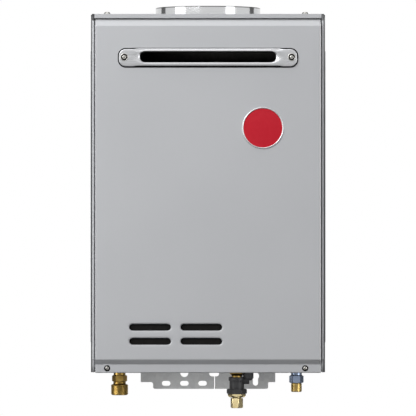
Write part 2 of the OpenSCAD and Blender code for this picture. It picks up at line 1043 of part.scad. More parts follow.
function bar_places() = [for (i = [0:bar_n - 1]) (i - (bar_n - 1) / 2) * (column_w - 34) / (bar_n - 1)];

module burner_bars() {
    foot = burner_foot + sheet;
    color(steel)
        for (x = bar_places())
            difference() {
                along_y(column_front + 12, column_rear - 8)
                    polygon([
                        [x - bar_w / 2, foot], [x + bar_w / 2, foot], [x + bar_w / 2, foot + bar_h - 8],
                        [x + bar_w / 4, foot + bar_h], [x - bar_w / 4, foot + bar_h],
                        [x - bar_w / 2, foot + bar_h - 8]
                    ]);
                for (i = [0:7])
                    span(
                        [x - bar_w, column_front + 20 + i * 12, foot + bar_h - 4],
                        [x + bar_w, column_front + 24 + i * 12, foot + bar_h + 1]
                    );
                translate([x, column_front + 11, manifold_z + manifold_h / 2])
                    rotate([-90, 0, 0])
                        cylinder(r = 4.4, h = 60);
            }
}

module along_y(y0, y1) {
    translate([0, y1, 0])
        rotate([90, 0, 0])
            linear_extrude(y1 - y0)
                children();
}

module gas_manifold() {
    z = manifold_z + manifold_h / 2;
    color(alloy)
        difference() {
            union() {
                span(
                    [8 - column_half, manifold_y - manifold_d, manifold_z],
                    [column_half - 8, manifold_y, manifold_z + manifold_h]
                );
                both_sides()
                    span(
                        [column_half - 16, manifold_y - 1, manifold_z],
                        [column_half - 8, column_front, manifold_z + 8]
                    );
                for (x = bar_places())
                    translate([x, manifold_y - 1, z])
                        rotate([-90, 0, 0])
                            cylinder(r = 3.5, h = 10);
            }
            span(
                [11 - column_half, 3 - manifold_d + manifold_y, manifold_z + 3],
                [column_half - 11, manifold_y - 3, manifold_z + manifold_h - 3]
            );
            for (x = bar_places())
                translate([x, manifold_y - 4, z])
                    rotate([-90, 0, 0])
                        cylinder(r = 1.2, h = 20);
            translate([feed_x, manifold_y - manifold_d / 2, manifold_z - 1])
                cylinder(r = gas_tube_r - pipe_wall, h = 5);
        }
}

module gas_valve() {
    color(alloy)
        difference() {
            span(
                [valve_left, valve_front, valve_z],
                [valve_left + valve_w, valve_front + valve_d, valve_z + valve_h]
            );
            translate([gas_x, pipe_y, valve_z - 1])
                cylinder(r = gas_tube_r - pipe_wall, h = 20);
            translate([feed_x, feed_y, valve_z + valve_h - 19])
                cylinder(r = gas_tube_r - pipe_wall, h = 20);
            for (x = coil_x)
                translate([x, valve_front, coil_z])
                    rotate([-90, 0, 0])
                        translate([0, 0, -1])
                            cylinder(r = plunger_r + run, h = 7);
        }
}

module solenoid_coils() {
    color([0.16, 0.16, 0.18])
        for (x = coil_x)
            translate([x, valve_front, coil_z])
                rotate([90, 0, 0])
                    turned([
                        [plunger_r + run, 0], [coil_r, 0], [coil_r, 3], [coil_r - 2, 3],
                        [coil_r - 2, coil_l - 3],
                        [coil_r, coil_l - 3], [coil_r, coil_l], [plunger_r + run, coil_l]
                    ]);
}

module plunger(x) {
    color(steel)
        translate([x, valve_front, coil_z])
            rotate([90, 0, 0])
                turned([
                    [0, -2], [plunger_r, -2], [plunger_r, coil_l + 2], [plunger_r - 1, coil_l + 3],
                    [0, coil_l + 3]
                ]);
}

module main_plunger() {
    plunger(coil_x[0]);
}

module safety_plunger() {
    plunger(coil_x[1]);
}

module gas_feed() {
    path = [
        [feed_x, feed_y, valve_z + valve_h], [feed_x, feed_y, feed_turn_z],
        [feed_x, manifold_y - manifold_d / 2, feed_turn_z],
        [feed_x, manifold_y - manifold_d / 2, manifold_z]
    ];
    color(steel)
        run_pipe(path, gas_tube_r, gas_tube_r + 7);
}

module gas_tube() {
    flare = bottom_z - 12;
    color(steel)
        translate([gas_x, pipe_y, 0])
            turned([
                [gas_tube_r - pipe_wall, flare], [gas_tube_r + 1.1, flare], [gas_tube_r + 1.1, flare + 1],
                [gas_tube_r, flare + 2], [gas_tube_r, valve_z], [gas_tube_r - pipe_wall, valve_z]
            ]);
}

module gas_nut() {
    flare = bottom_z - 12;
    cavity = gas_tube_r + 1.5;
    color([0.36, 0.47, 0.62])
        translate([gas_x, pipe_y, 0])
            difference() {
                union() {
                    hexagon(gas_af, bottom_z - 21.2, bottom_z - 10.6, 1.2);
                    translate([0, 0, bottom_z - 11])
                        cylinder(r = 8.25, h = 14);
                }
                turned([
                    [0, bottom_z - 22], [cavity, bottom_z - 22], [cavity, flare + 1.2],
                    [gas_tube_r + run, flare + 2.3],
                    [gas_tube_r + run, bottom_z + 4], [0, bottom_z + 4]
                ]);
            }
}

module gas_tail() {
    r = gas_thread_r;
    top = bottom_z - 22.2;
    foot = top - gas_thread_l - 1;
    color(brass)
        translate([gas_x, pipe_y, 0])
            turned([
                [gas_tube_r - pipe_wall, foot], [r - 1, foot], [r, foot + 1], [r, top],
                [gas_tube_r + 1.4, top + 0.8],
                [gas_tube_r + 1.4, bottom_z - 12.1], [gas_tube_r - pipe_wall, bottom_z - 12.1]
            ]);
}

module scroll_plan(inset) {
    circle(scroll_r - inset);
    translate([neck_l + inset, 0])
        square([neck_r - neck_l - 2 * inset, burner_foot - fan_z]);
}

module fan_housing() {
    color(alloy)
        translate([-fan_x, 0, fan_z])
            difference() {
                from_front(scroll_rear, scroll_d)
                    scroll_plan(0);
                from_front(scroll_rear - 1.5, scroll_d - 3)
                    scroll_plan(1.5);
                span(
                    [neck_l + 2, scroll_front + 2, burner_foot - fan_z - 4],
                    [neck_r - 2, scroll_rear - 2, burner_foot - fan_z + 1]
                );
                translate([0, scroll_rear + 1, 0])
                    rotate([90, 0, 0])
                        cylinder(r = wheel_r - 12, h = 4);
                translate([0, scroll_front - 1, 0])
                    rotate([-90, 0, 0])
                        cylinder(r = shaft_r + 2, h = 4);
            }
}

module fan_wheel() {
    y0 = scroll_front + 6;
    y1 = scroll_rear - 6;
    color([0.5, 0.52, 0.54])
        translate([-fan_x, 0, fan_z])
            rotate([90, 0, 0]) {
                translate([0, 0, -y0 - 2])
                    cylinder(r = wheel_r, h = 2);
                translate([0, 0, -y0 - 16])
                    cylinder(r = 10, h = 15);
                translate([0, 0, -y0 - 10])
                    cylinder(r = shaft_r, h = y0 + 10 - motor_front - 6);
                translate([0, 0, -y1])
                    difference() {
                        cylinder(r = wheel_r, h = 2);
                        translate([0, 0, -1])
                            cylinder(r = wheel_r - 9, h = 4);
                    }
                for (i = [0:blade_n - 1])
                    rotate([0, 0, i * 360 / blade_n])
                        translate([wheel_r - 4.5, 0, 1 - y1])
                            rotate([0, 0, 35])
                                translate([-3.6, -0.5, 0])
                                    cube([7.2, 1, y1 - y0 - 2]);
            }
}

module fan_motor() {
    l = motor_l;
    color([0.2, 0.21, 0.23])
        translate([-fan_x, scroll_front, fan_z])
            rotate([90, 0, 0])
                turned([
                    [shaft_r + run, 0], [motor_r + 4, 0], [motor_r + 4, 3], [motor_r, 3],
                    [motor_r, l - 8],
                    [motor_r - 4, l - 3], [14, l - 3], [14, l], [0, l], [0, l - 5], [shaft_r + run, l - 5]
                ]);
}

module chamber_hangers() {
    color(zinc)
        for (z = [tube_z - 8, chamber_foot + 10])
            along_x(-hanger_w / 2, hanger_w / 2)
                polygon([
                    [inner_back, z], [inner_back, z + hanger_t], [column_rear + hanger_t, z + hanger_t],
                    [column_rear + hanger_t, z + hanger_h - hanger_t],
                    [inner_back, z + hanger_h - hanger_t],
                    [inner_back, z + hanger_h], [column_rear, z + hanger_h], [column_rear, z]
                ]);
}

module overheat_switch() {
    color([0.12, 0.12, 0.13])
        translate([-column_half, column_y, chamber_foot + 88])
            rotate([0, -90, 0]) {
                cylinder(r = 9, h = 3);
                cylinder(r = 6.5, h = 9);
            }
}

module spark_box() {
    color([0.14, 0.14, 0.15])
        translate([column_half, column_y - 30, chamber_foot + spark_up])
            cube([spark_w, spark_d, spark_h]);
}

module hot_pipe() {
    front_row = column_y - 2 * tube_pitch;
    turn_z = fan_z + 10;
    path = [
        [-tube_end, front_row, tube_z], [-riser_x, front_row, tube_z], [-riser_x, front_row, turn_z],
        [-hot_x, pipe_y, turn_z], [-hot_x, pipe_y, pan_top + hot_rise]
    ];
    color(copper)
        run_pipe(path, pipe_r, pipe_bend);
}

module cold_pipe() {
    rear_row = column_y + 2 * tube_pitch;
    path = [
        [cold_x, pipe_y, sensor_top], [cold_x, pipe_y, cross_z], [cold_x, rear_row, cross_z],
        [riser_x, rear_row, cross_z], [riser_x, rear_row, tube_z], [tube_end, rear_row, tube_z]
    ];
    color(copper)
        run_pipe(path, pipe_r, pipe_bend);
}

module hot_outlet() {
    foot = bottom_z - 23.5 - hot_thread_l - 1.5;
    r = hot_thread_r;
    neck = hot_neck_r;
    bore = pipe_r - pipe_wall;
    color(brass)
        translate([-hot_x, pipe_y, 0])
            difference() {
                union() {
                    turned([
                        [0, foot], [r - 1.5, foot], [r, foot + 1.5], [r, bottom_z - 23.5],
                        [9.45, bottom_z - 22],
                        [9.45, bottom_z - 18], [neck, bottom_z - 17], [neck, pan_top],
                        [hot_flange_r, pan_top],
                        [hot_flange_r, pan_top + 5], [neck, pan_top + 6], [neck, pan_top + hot_rise],
                        [0, pan_top + hot_rise]
                    ]);
                    hexagon(hot_af, bottom_z - 19.4, bottom_z - 8.6, 3);
                }
                translate([0, 0, foot - 1])
                    cylinder(r = bore, h = pan_top + hot_rise + 2 - foot);
            }
}

module inlet_stub() {
    color(brass)
        translate([cold_x, pipe_y, 0])
            turned([
                [5.5, bottom_z - 18], [8, bottom_z - 18], [8, bottom_z - 10],
                [stub_r, bottom_z - 6], [stub_r, pan_top],
                [stub_r + 4.5, pan_top], [stub_r + 4.5, stub_top], [5.5, stub_top]
            ]);
}

module flow_sensor() {
    z0 = stub_top;
    waist = sensor_r - 2;
    color(black)
        translate([cold_x, pipe_y, 0])
            difference() {
                union() {
                    turned([
                        [0, z0], [sensor_r, z0], [sensor_r, z0 + 4], [waist, z0 + 5],
                        [waist, sensor_top - 5],
                        [sensor_r, sensor_top - 4], [sensor_r, sensor_top], [0, sensor_top]
                    ]);
                    span([-9, -sensor_r - 8, z0 + 14], [9, 1 - waist, z0 + 34]);
                }
                translate([0, 0, z0 + 8])
                    cylinder(r = 12, h = sensor_h - 16);
                translate([0, 0, z0 + 5])
                    cylinder(r = 1.3 + run, h = sensor_h - 10);
                for (i = [0:3])
                    rotate([0, 0, 45 + i * 90])
                        translate([3.8, 0, z0 - 1])
                            cylinder(r = 1.6, h = sensor_h + 2);
            }
}

module flow_turbine() {
    z0 = stub_top + 9;
    z1 = sensor_top - 9;
    color([0.9, 0.9, 0.88])
        translate([cold_x, pipe_y, 0]) {
            translate([0, 0, z0 - 3])
                cylinder(r = 1.3, h = z1 - z0 + 6);
            translate([0, 0, z0])
                cylinder(r = 4, h = z1 - z0);
            for (i = [0:5])
                rotate([0, 0, i * 60])
                    translate([3, 0, (z0 + z1) / 2])
                        rotate([30, 0, 0])
                            translate([0, -0.6, -6])
                                cube([7.6, 1.2, 12]);
        }
}

module inlet_valve() {
    color(black)
        translate([cold_x, pipe_y, bottom_z])
            difference() {
                union() {
                    turned([
                        [0, -34], [11.2, -34], [11.2, -18.5], [12.65, -17], [12.65, -12.6],
                        [12, -11.9], [0, -11.9]
                    ]);
                    translate([0, 0, -17.2])
                        rotate([0, 90, 0])
                            cylinder(r = 5.6, h = 19);
                    translate([17.5, 0, 0])
                        turned([
                            [0, -17], [5, -17], [8, -13.5], [8, pan_rise], [0, pan_rise]
                        ]);
                }
                turned([
                    [0, -18], [8 + run, -18], [8 + run, -10], [stub_r + run, -6],
                    [stub_r + run, pan_rise + 1], [0, pan_rise + 1]
                ]);
                translate([0, 0, -35])
                    cylinder(r = 5.5, h = 20);
            }
}

module lock_ring() {
    color(black)
        translate([cold_x, pipe_y, bottom_z])
            difference() {
                hexagon(ring_af, -37.7, -29.9, 1.6);
                translate([0, 0, -39])
                    cylinder(r = 11.2 + run, h = 10);
            }
}

module inlet_tail() {
    color(brass)
        translate([cold_x, pipe_y, bottom_z])
            turned([
                [5.5, -34], [11.2, -34], [11.2, -37.9], [13.4, -37.9], [13.8, -38.6], [13.8, -40],
                [12.2, -42.7],
                [7.1, -42.9], [7.1, -52], [tube_socket_r, -52], [tube_socket_r, -40], [5.5, -39]
            ]);
}

module olive() {
    color(brass)
        translate([cold_x, pipe_y, bottom_z])
            turned([
                [tube_socket_r + run, -56.4], [6.9, -56.4], [7.1, -54.2], [6.9, -52.05],
                [tube_socket_r + run, -52.05]
            ]);
}

module compression_nut() {
    color(brass)
        translate([cold_x, pipe_y, bottom_z])
            difference() {
                rotate([0, 0, -10])
                    hexagon(nut_af, -59.1, -43.9, 1.2);
                turned([
                    [0, -60], [tube_socket_r + run, -60], [tube_socket_r + run, -56.5],
                    [7.1 + run, -56.5],
                    [7.1 + run, -43], [0, -43]
                ]);
            }
}

module control_tray() {
    color([0.22, 0.23, 0.24])
        difference() {
            span([tray_x, tray_y, pan_top], [tray_x + tray_w, tray_y + tray_d, pan_top + tray_h]);
            span(
                [tray_x + 2, tray_y - 1, pan_top + 2],
                [tray_x + tray_w - 2, tray_y + tray_d - 2, pan_top + tray_h - 2]
            );
        }
}

module control_board() {
    rear = tray_y + tray_d - 2;
    color([0.1, 0.36, 0.2]) {
        span(
            [tray_x + 6, rear - 6, pan_top + 6],
            [tray_x + tray_w - 6, rear - 4.4, pan_top + tray_h - 6]
        );
        for (x = [tray_x + 14, tray_x + tray_w - 14], z = [pan_top + 14, pan_top + tray_h - 14])
            translate([x, rear - 4.4, z])
                rotate([-90, 0, 0])
                    cylinder(r = 3, h = 4.4);
    }
}

module board_parts() {
    face = tray_y + tray_d - 8;
    color([0.75, 0.75, 0.72]) {
        span([tray_x + 14, face - 11, pan_top + 20], [tray_x + 44, face, pan_top + 48]);
        span([tray_x + 52, face - 7, pan_top + 16], [tray_x + 74, face, pan_top + 30]);
        span([tray_x + 52, face - 4, pan_top + 44], [tray_x + 70, face, pan_top + 62]);
        span(
            [tray_x + 24, face - 8, pan_top + tray_h - 22],
            [tray_x + tray_w - 30, face, pan_top + tray_h - 14]
        );
        for (i = [0:2])
            translate([tray_x + 86 + i * 12, face, pan_top + 34])
                rotate([90, 0, 0])
                    cylinder(r = 5, h = 10);
    }
}

/* [Pieces] */
// Piece to draw, or all of them

/* [Hidden] */

case_shell();
top_panel();
bottom_panel();
front_frame();
cover_seal();
front_cover();
cover_screws();
top_screws();
exhaust_trim();
trim_screws();
badge();
flue_collar();
flue_cap();
collar_rivets();
upper_bracket();
lower_bracket();
bracket_screws();
exhaust_hood();
exchanger_shell();
exchanger_fins();
exchanger_tubes();
combustion_chamber();
sight_window();
electrode_insulators();
electrode_rods();
burner_box();
burner_bars();
gas_manifold();
gas_feed();
gas_valve();
solenoid_coils();
main_plunger();
safety_plunger();
gas_tube();
gas_bush();
gas_nut();
gas_tail();
fan_housing();
fan_wheel();
fan_motor();
chamber_hangers();
overheat_switch();
spark_box();
hot_pipe();
cold_pipe();
hot_outlet();
inlet_stub();
flow_sensor();
flow_turbine();
inlet_valve();
lock_ring();
inlet_tail();
olive();
compression_nut();
control_tray();
control_board();
board_parts();
cable_grommet();
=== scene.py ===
# %% [markdown]
# # A wall-hung outdoor water heater
# The real object is a silver sheet-steel case on two wall brackets, with a lift-off front cover, a
# stainless exhaust trim, a polished flue collar on top and three pipe connections below. The packed
# model already has every piece at its true size, so this lesson keeps it as a fixed frame. It gives
# each piece its finish, and it replaces the pieces whose rolled edges, threads and pressed lips the
# eye looks for.

# %% Load the frame
import json
import math
from collections import namedtuple

import bmesh
import bpy
import numpy as np
from mathutils import Matrix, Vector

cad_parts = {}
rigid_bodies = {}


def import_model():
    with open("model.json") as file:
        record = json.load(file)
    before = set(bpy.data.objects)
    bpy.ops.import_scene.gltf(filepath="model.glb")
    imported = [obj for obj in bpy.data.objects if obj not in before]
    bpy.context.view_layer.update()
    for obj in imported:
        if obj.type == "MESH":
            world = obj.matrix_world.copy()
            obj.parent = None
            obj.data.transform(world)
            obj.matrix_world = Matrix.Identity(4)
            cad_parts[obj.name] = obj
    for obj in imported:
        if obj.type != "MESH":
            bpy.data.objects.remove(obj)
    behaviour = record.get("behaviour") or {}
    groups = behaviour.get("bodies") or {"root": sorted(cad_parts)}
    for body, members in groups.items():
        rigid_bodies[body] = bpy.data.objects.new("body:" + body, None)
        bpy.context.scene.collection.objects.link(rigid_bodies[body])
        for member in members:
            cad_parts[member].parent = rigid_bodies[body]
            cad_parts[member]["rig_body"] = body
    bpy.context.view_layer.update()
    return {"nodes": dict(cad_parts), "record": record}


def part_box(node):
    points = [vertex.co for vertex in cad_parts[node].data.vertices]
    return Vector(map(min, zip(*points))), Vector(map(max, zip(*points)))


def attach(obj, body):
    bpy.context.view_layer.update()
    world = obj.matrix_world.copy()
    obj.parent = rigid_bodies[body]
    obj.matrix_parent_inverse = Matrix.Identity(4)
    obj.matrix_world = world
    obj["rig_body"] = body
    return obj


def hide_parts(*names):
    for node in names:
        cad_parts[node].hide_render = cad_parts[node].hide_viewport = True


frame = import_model()
MM = 0.001

# %% [markdown]
# ## From arrays to a mesh
# Every new piece is a sheet of points in rows and columns, worked out as one array. Typing vertices by
# hand would be slow and would hide the formula. One function turns such sheets into quads, and points
# that fall on each other are merged, which closes the seam of a turned piece and its poles.

# %% Sheets of points to one welded mesh
def surface(name, sheets, outward=True, sharp=32):
    """Makes a mesh from sheets in millimetres: rows by columns by 3, or (points, cells to keep).

    Each cell between four neighbouring points is one face. Points within 2 micrometres are merged, and
    where the shape is closed its faces are turned outwards. Edges steeper than the sharp angle stay crisp."""
    points, faces, start = [], [], 0
    for sheet in sheets:
        grid, keep = sheet if isinstance(sheet, tuple) else (sheet, None)
        rows, cols = grid.shape[:2]
        first = start + np.arange(rows - 1)[:, None] * cols + np.arange(cols - 1)
        quads = np.stack([first, first + 1, first + cols + 1, first + cols], -1)
        faces.append(quads.reshape(-1, 4) if keep is None else quads[keep])
        points.append(grid.reshape(-1, 3))
        start += rows * cols
    used, corners = np.unique(np.concatenate(faces), return_inverse=True)
    mesh = bpy.data.meshes.new(name)
    mesh.from_pydata(np.concatenate(points)[used] * MM, [], corners.reshape(-1, 4))
    work = bmesh.new()
    work.from_mesh(mesh)
    bmesh.ops.remove_doubles(work, verts=work.verts, dist=2e-6)
    bmesh.ops.dissolve_degenerate(work, edges=work.edges, dist=1e-6)
    if outward:
        bmesh.ops.recalc_face_normals(work, faces=work.faces)
    work.to_mesh(mesh)
    work.free()
    mesh.polygons.foreach_set("use_smooth", np.ones(len(mesh.polygons), bool))
    mesh.set_sharp_from_angle(angle=math.radians(sharp))
    piece = bpy.data.objects.new(name, mesh)
    bpy.context.scene.collection.objects.link(piece)
    print(f"{name}: {len(mesh.vertices)} points, {len(mesh.polygons)} faces")
    return piece


# %% [markdown]
# ## One way to build a finish
# A finish is a shader with a few patterns that feed it. Colours are written as the hex values a screen
# shows, and the renderer works in linear light, so one function converts them. One more adds a node with
# its settings and its links, which keeps each finish readable as a short list.

# %% Colours and nodes
def tone(code):
    """Turns an sRGB hex colour into linear red, green, blue and 1, by the sRGB curve."""
    value = np.array([int(code[i : i + 2], 16) for i in (1, 3, 5)]) / 255
    linear = np.where(value <= 0.04045, value / 12.92, ((value + 0.055) / 1.055) ** 2.4)
    return (*linear.tolist(), 1.0)


def add(material, kind, inputs=(), **settings):
    """Adds one node. Settings are its properties, and inputs its sockets: a value, or an output to link."""
    tree = material.node_tree
    node = tree.nodes.new("ShaderNode" + kind)
    for key, value in settings.items():
        setattr(node, key, value)
    for key, value in dict(inputs).items():
        if isinstance(value, bpy.types.NodeSocket):
            tree.links.new(value, node.inputs[key])
        else:
            node.inputs[key].default_value = value
    return node


def feed(shader, **outputs):
    """Links outputs to a shader that is there already, each to the socket of its name."""
    for key, output in outputs.items():
        shader.id_data.links.new(output, shader.inputs[key.replace("_", " ")])


def start_finish(name, **sockets):
    """A new material with one principled shader, whose constant sockets are set by name."""
    material = bpy.data.materials.new(name)
    material.use_nodes = True
    shader = material.node_tree.nodes["Principled BSDF"]
    for key, value in sockets.items():
        shader.inputs[key.replace("_", " ")].default_value = value
    return material, shader


def per_metre(size_mm):
    """A pattern of this size repeats so many times in a metre, which is the unit of Object coordinates."""
    return 1000 / size_mm


finishes = {}
print("white is", [round(c, 3) for c in tone("#FFFFFF")])

# %% [markdown]
# ## Silver baked enamel on sheet steel
# The case is sprayed with a silver-grey enamel and baked. Up close it has the faint waves of sprayed
# paint, about 3 mm across, and fine bright flakes that only show as a slight grain. A bevel node rounds
# the light on the folded edges, because real sheet never bends to a knife edge.

# %% Silver enamel
paint, shader = start_finish("Silver baked enamel", Metallic=0.12, Roughness=0.42, IOR=1.5)
place = add(paint, "TexCoord").outputs["Object"]
flakes = add(paint, "TexNoise", {"Vector": place, "Scale": per_metre(0.9), "Detail": 2.0})
cloud = add(paint, "TexNoise", {"Vector": place, "Scale": per_metre(140), "Detail": 1.0})
blend = {0: flakes.outputs["Fac"], 6: tone("#B9BBBE"), 7: tone("#C1C2C5")}
grain = add(paint, "Mix", blend, data_type="RGBA")
blend = {0: 0.08, 6: grain.outputs[2], 7: cloud.outputs["Fac"]}
soft = add(paint, "Mix", blend, data_type="RGBA", blend_type="SOFT_LIGHT")
peel = add(paint, "TexNoise", {"Vector": place, "Scale": per_metre(3.0), "Detail": 1.0})
edge = add(paint, "Bevel", {"Radius": 0.7 * MM}, samples=4)
bumps = {"Height": peel.outputs["Fac"], "Strength": 0.06, "Distance": 0.1 * MM, "Normal": edge.outputs[0]}
feed(shader, Normal=add(paint, "Bump", bumps).outputs[0])
finishes["silver_paint"] = paint
print(paint.name, len(paint.node_tree.nodes), "nodes")

# %% [markdown]
# ## Painted shade and a painted highlight on the enamel
# The outer cheek of the rolled front edges and their upper ends get a darker grey, darkest on the left:
# that is painted shade. A near-white line on the cover's right fold is a painted highlight. A painted
# mask would need an image. Here each place is a soft step in width, depth or height, and the steps are
# multiplied where all of them have to hold.

# %% Painted shade and highlight on the enamel
spot = add(paint, "SeparateXYZ", {0: place})
width = add(paint, "Math", {0: spot.outputs["X"]}, operation="ABSOLUTE")
zone = {}
for name, measure, from_mm, to_mm in (
    ("outer cheek", width.outputs[0], 173.2, 174.4),
    ("front", spot.outputs["Y"], -214, -217),
    ("beside the cover", width.outputs[0], 169.9, 170.4),
    ("upper end", spot.outputs["Z"], -13, -11),
    ("left to right", spot.outputs["X"], -100, 100),
    ("fold starts", spot.outputs["X"], 167.8, 168.3),
    ("fold ends", spot.outputs["X"], 169.8, 169.4),
    ("below the top", spot.outputs["Z"], -12, -14),
):
    limits = {"Value": measure, "From Min": from_mm * MM, "From Max": to_mm * MM}
    zone[name] = add(paint, "MapRange", limits).outputs[0]
post = add(paint, "Math", {0: zone["beside the cover"], 1: zone["upper end"]}, operation="MULTIPLY")
outer = add(paint, "Math", {0: zone["outer cheek"], 1: post.outputs[0]}, operation="MAXIMUM")
painted_shade_zone = add(paint, "Math", {0: outer.outputs[0], 1: zone["front"]}, operation="MULTIPLY")
# painted shade: a darker grey on the hem cheeks and the corner posts, darkest on the left
blend = {0: zone["left to right"], 6: tone("#404143"), 7: tone("#6E6F71")}
painted_shade_tone = add(paint, "Mix", blend, data_type="RGBA")
blend = {0: painted_shade_zone.outputs[0], 6: soft.outputs[2], 7: painted_shade_tone.outputs[2]}
with_painted_shade = add(paint, "Mix", blend, data_type="RGBA")
# painted highlight: near white along the cover's right fold
painted_highlight_zone = zone["fold starts"]
for name in ("fold ends", "below the top", "front"):
    painted_highlight_zone = add(paint, "Math", {0: painted_highlight_zone, 1: zone[name]}, operation="MULTIPLY").outputs[0]
with_painted_highlight = add(paint, "Mix", {0: painted_highlight_zone, 6: with_painted_shade.outputs[2], 7: tone("#FAFAFB")}, data_type="RGBA")
feed(shader, Base_Color=with_painted_highlight.outputs[2])
print(paint.name, "with painted shade and highlight:", len(paint.node_tree.nodes), "nodes")

# %% [markdown]
# ## Two tones and one noise
# Most of the other finishes are two close tones mixed by one noise: brush marks, plating mist, mould
# grain or soot. The same noise can also spread the roughness and raise the surface. One function makes
# such a finish from its real grain size, and only what is special is added afterwards.

# %% Grained finishes
def grained(name, size_mm, detail, dark, light, rough=None, bump=None, **sockets):
    """A finish from one noise: its size in millimetres is one number, or one along each axis.

    The noise mixes the two tones. Where these are given, it also spreads the roughness between two values
    and raises the surface by (strength, millimetres)."""
    material, shader = start_finish(name, **sockets)
    place = add(material, "TexCoord").outputs["Object"]
    scale = 1.0
    if np.isscalar(size_mm):
        scale = per_metre(size_mm)
    else:
        stretch = {"Vector": place, "Scale": [per_metre(size) for size in size_mm]}
        place = add(material, "Mapping", stretch).outputs[0]
    noise = add(material, "TexNoise", {"Vector": place, "Scale": scale, "Detail": detail}).outputs["Fac"]
    mixed = add(material, "Mix", {0: noise, 6: tone(dark), 7: tone(light)}, data_type="RGBA")
    feed(shader, Base_Color=mixed.outputs[2])
    if rough:
        spread = {"Value": noise, "To Min": rough[0], "To Max": rough[1]}
        feed(shader, Roughness=add(material, "MapRange", spread).outputs[0])
    if bump:
        height = {"Height": noise, "Strength": bump[0], "Distance": bump[1] * MM}
        feed(shader, Normal=add(material, "Bump", height).outputs[0])
    return material


print("a grain of 2 mm repeats", per_metre(2), "times in a metre")

# %% [markdown]
# ## Brushed and polished stainless steel
# The exhaust trim, the hood and the burner are stainless sheet brushed along its length: hair-thin
# scratches, drawn here about 0.6 mm wide so that they still show. The flue collar is the same steel,
# polished on a lathe until it mirrors the studio, with only a breath of the turning marks left. The top
# of its rolled edge is mixed to a darker grey.

# %% Stainless steel
steel = {"Metallic": 1.0, "Roughness": 0.3, "Anisotropic": 0.4}
spread, scratch = (0.2, 0.36), (0.08, 0.05)
brushed = grained(
    "Brushed stainless steel", (60, 0.6, 0.6), 3.0, "#A9AAAC", "#CFD0D2", spread, scratch, **steel
)
finishes["stainless"] = brushed

steel = {"Metallic": 1.0, "Roughness": 0.1}
spread = (0.06, 0.14)
polished = grained("Polished stainless steel", (40, 40, 0.5), 2.0, "#C4C5C6", "#D0D1D2", spread, **steel)
shader = polished.node_tree.nodes["Principled BSDF"]
mixed = shader.inputs["Base Color"].links[0].from_socket
place = add(polished, "TexCoord").outputs["Object"]
spot = add(polished, "SeparateXYZ", {0: place})
limits = {"Value": spot.outputs["Z"], "From Min": 10.3 * MM, "From Max": 10.9 * MM}
edge = add(polished, "MapRange", limits)
blend = {0: edge.outputs[0], 6: mixed, 7: tone("#646566")}
feed(shader, Base_Color=add(polished, "Mix", blend, data_type="RGBA").outputs[2])
finishes["polished_steel"] = polished
print(brushed.name, "and", polished.name)

# %% [markdown]
# ## Zinc in four forms
# Hot-dip galvanised sheet freezes into flat crystals, the spangle, about 7 mm across and each a slightly
# different grey. Screws and tubes are plated instead, which is even and bright. The gas nut is plated and
# then passivated blue, a thin film that only tints the reflection.

# %% Galvanised sheet, plated steel and blue zinc
galvanised, shader = start_finish("Hot-dip galvanised sheet", Metallic=0.3, Roughness=0.5)
place = add(galvanised, "TexCoord").outputs["Object"]
crystal = add(galvanised, "TexVoronoi", {"Vector": place, "Scale": per_metre(7.0)})
shade = add(galvanised, "SeparateColor", {"Color": crystal.outputs["Color"]})
blend = {0: shade.outputs[0], 6: tone("#D6D7D8"), 7: tone("#E0E1E1")}
mixed = add(galvanised, "Mix", blend, data_type="RGBA")
dull = add(galvanised, "MapRange", {"Value": shade.outputs[1], "To Min": 0.42, "To Max": 0.58})
edge = add(galvanised, "Bevel", {"Radius": 0.4 * MM}, samples=4)
feed(shader, Base_Color=mixed.outputs[2], Roughness=dull.outputs[0], Normal=edge.outputs[0])
finishes["galvanised"] = galvanised

for slot, name, dark, light, rough in (
    ("screw_steel", "Bright zinc plated steel", "#A9A8A4", "#C4C3BE", 0.2),
    ("plated_tube", "Plated steel tube", "#B4B4B2", "#C8C8C5", 0.32),
    ("blue_zinc", "Blue passivated zinc", "#8797B3", "#ADBAD0", 0.3),
):
    spread = (rough - 0.06, rough + 0.08)
    finishes[slot] = grained(name, 2.5, 3.0, dark, light, spread, Metallic=1.0, Roughness=rough)
    print("zinc:", name)

# %% [markdown]
# ## Brass, copper and cast aluminium
# The fittings are turned brass. The tool leaves rings about 0.2 mm apart, drawn at 0.8 mm here, and
# handling leaves brown tarnish in clouds of a few millimetres. Copper tube and sheet tarnish in the same
# way but redder. The valve, manifold and fan scroll are die-cast aluminium, whose skin has a fine grain.

# %% Brass, copper, cast aluminium
stretch = (per_metre(30), per_metre(30), per_metre(0.8))
for slot, name, light, dark, rough in (
    ("brass", "Turned brass, aged", "#BFA05A", "#937338", 0.28),
    ("yellow_brass", "Turned brass, lacquered", "#D6BA76", "#B0914E", 0.26),
    ("bright_brass", "Turned brass, bright", "#F6E6B6", "#E2CB92", 0.2),
    ("copper", "Drawn copper", "#C98563", "#8F5237", 0.3),
):
    metal, shader = start_finish(name, Metallic=1.0, Roughness=rough)
    place = add(metal, "TexCoord").outputs["Object"]
    ringed = add(metal, "Mapping", {"Vector": place, "Scale": stretch})
    rings = add(metal, "TexNoise", {"Vector": ringed.outputs[0], "Scale": 1.0, "Detail": 2.0})
    cloud = add(metal, "TexNoise", {"Vector": place, "Scale": per_metre(9), "Detail": 4.0})
    limits = {"Value": cloud.outputs["Fac"], "From Min": 0.25, "From Max": 0.85}
    clearer = add(metal, "MapRange", limits)
    mixed = add(metal, "Mix", {0: clearer.outputs[0], 6: tone(light), 7: tone(dark)}, data_type="RGBA")
    limits = {"Value": cloud.outputs["Fac"], "To Min": rough - 0.08, "To Max": rough + 0.12}
    dull = add(metal, "MapRange", limits)
    mark = add(metal, "Bump", {"Height": rings.outputs["Fac"], "Strength": 0.1, "Distance": 0.05 * MM})
    feed(shader, Base_Color=mixed.outputs[2], Roughness=dull.outputs[0], Normal=mark.outputs[0])
    finishes[slot] = metal
    print("turned or drawn:", metal.name)

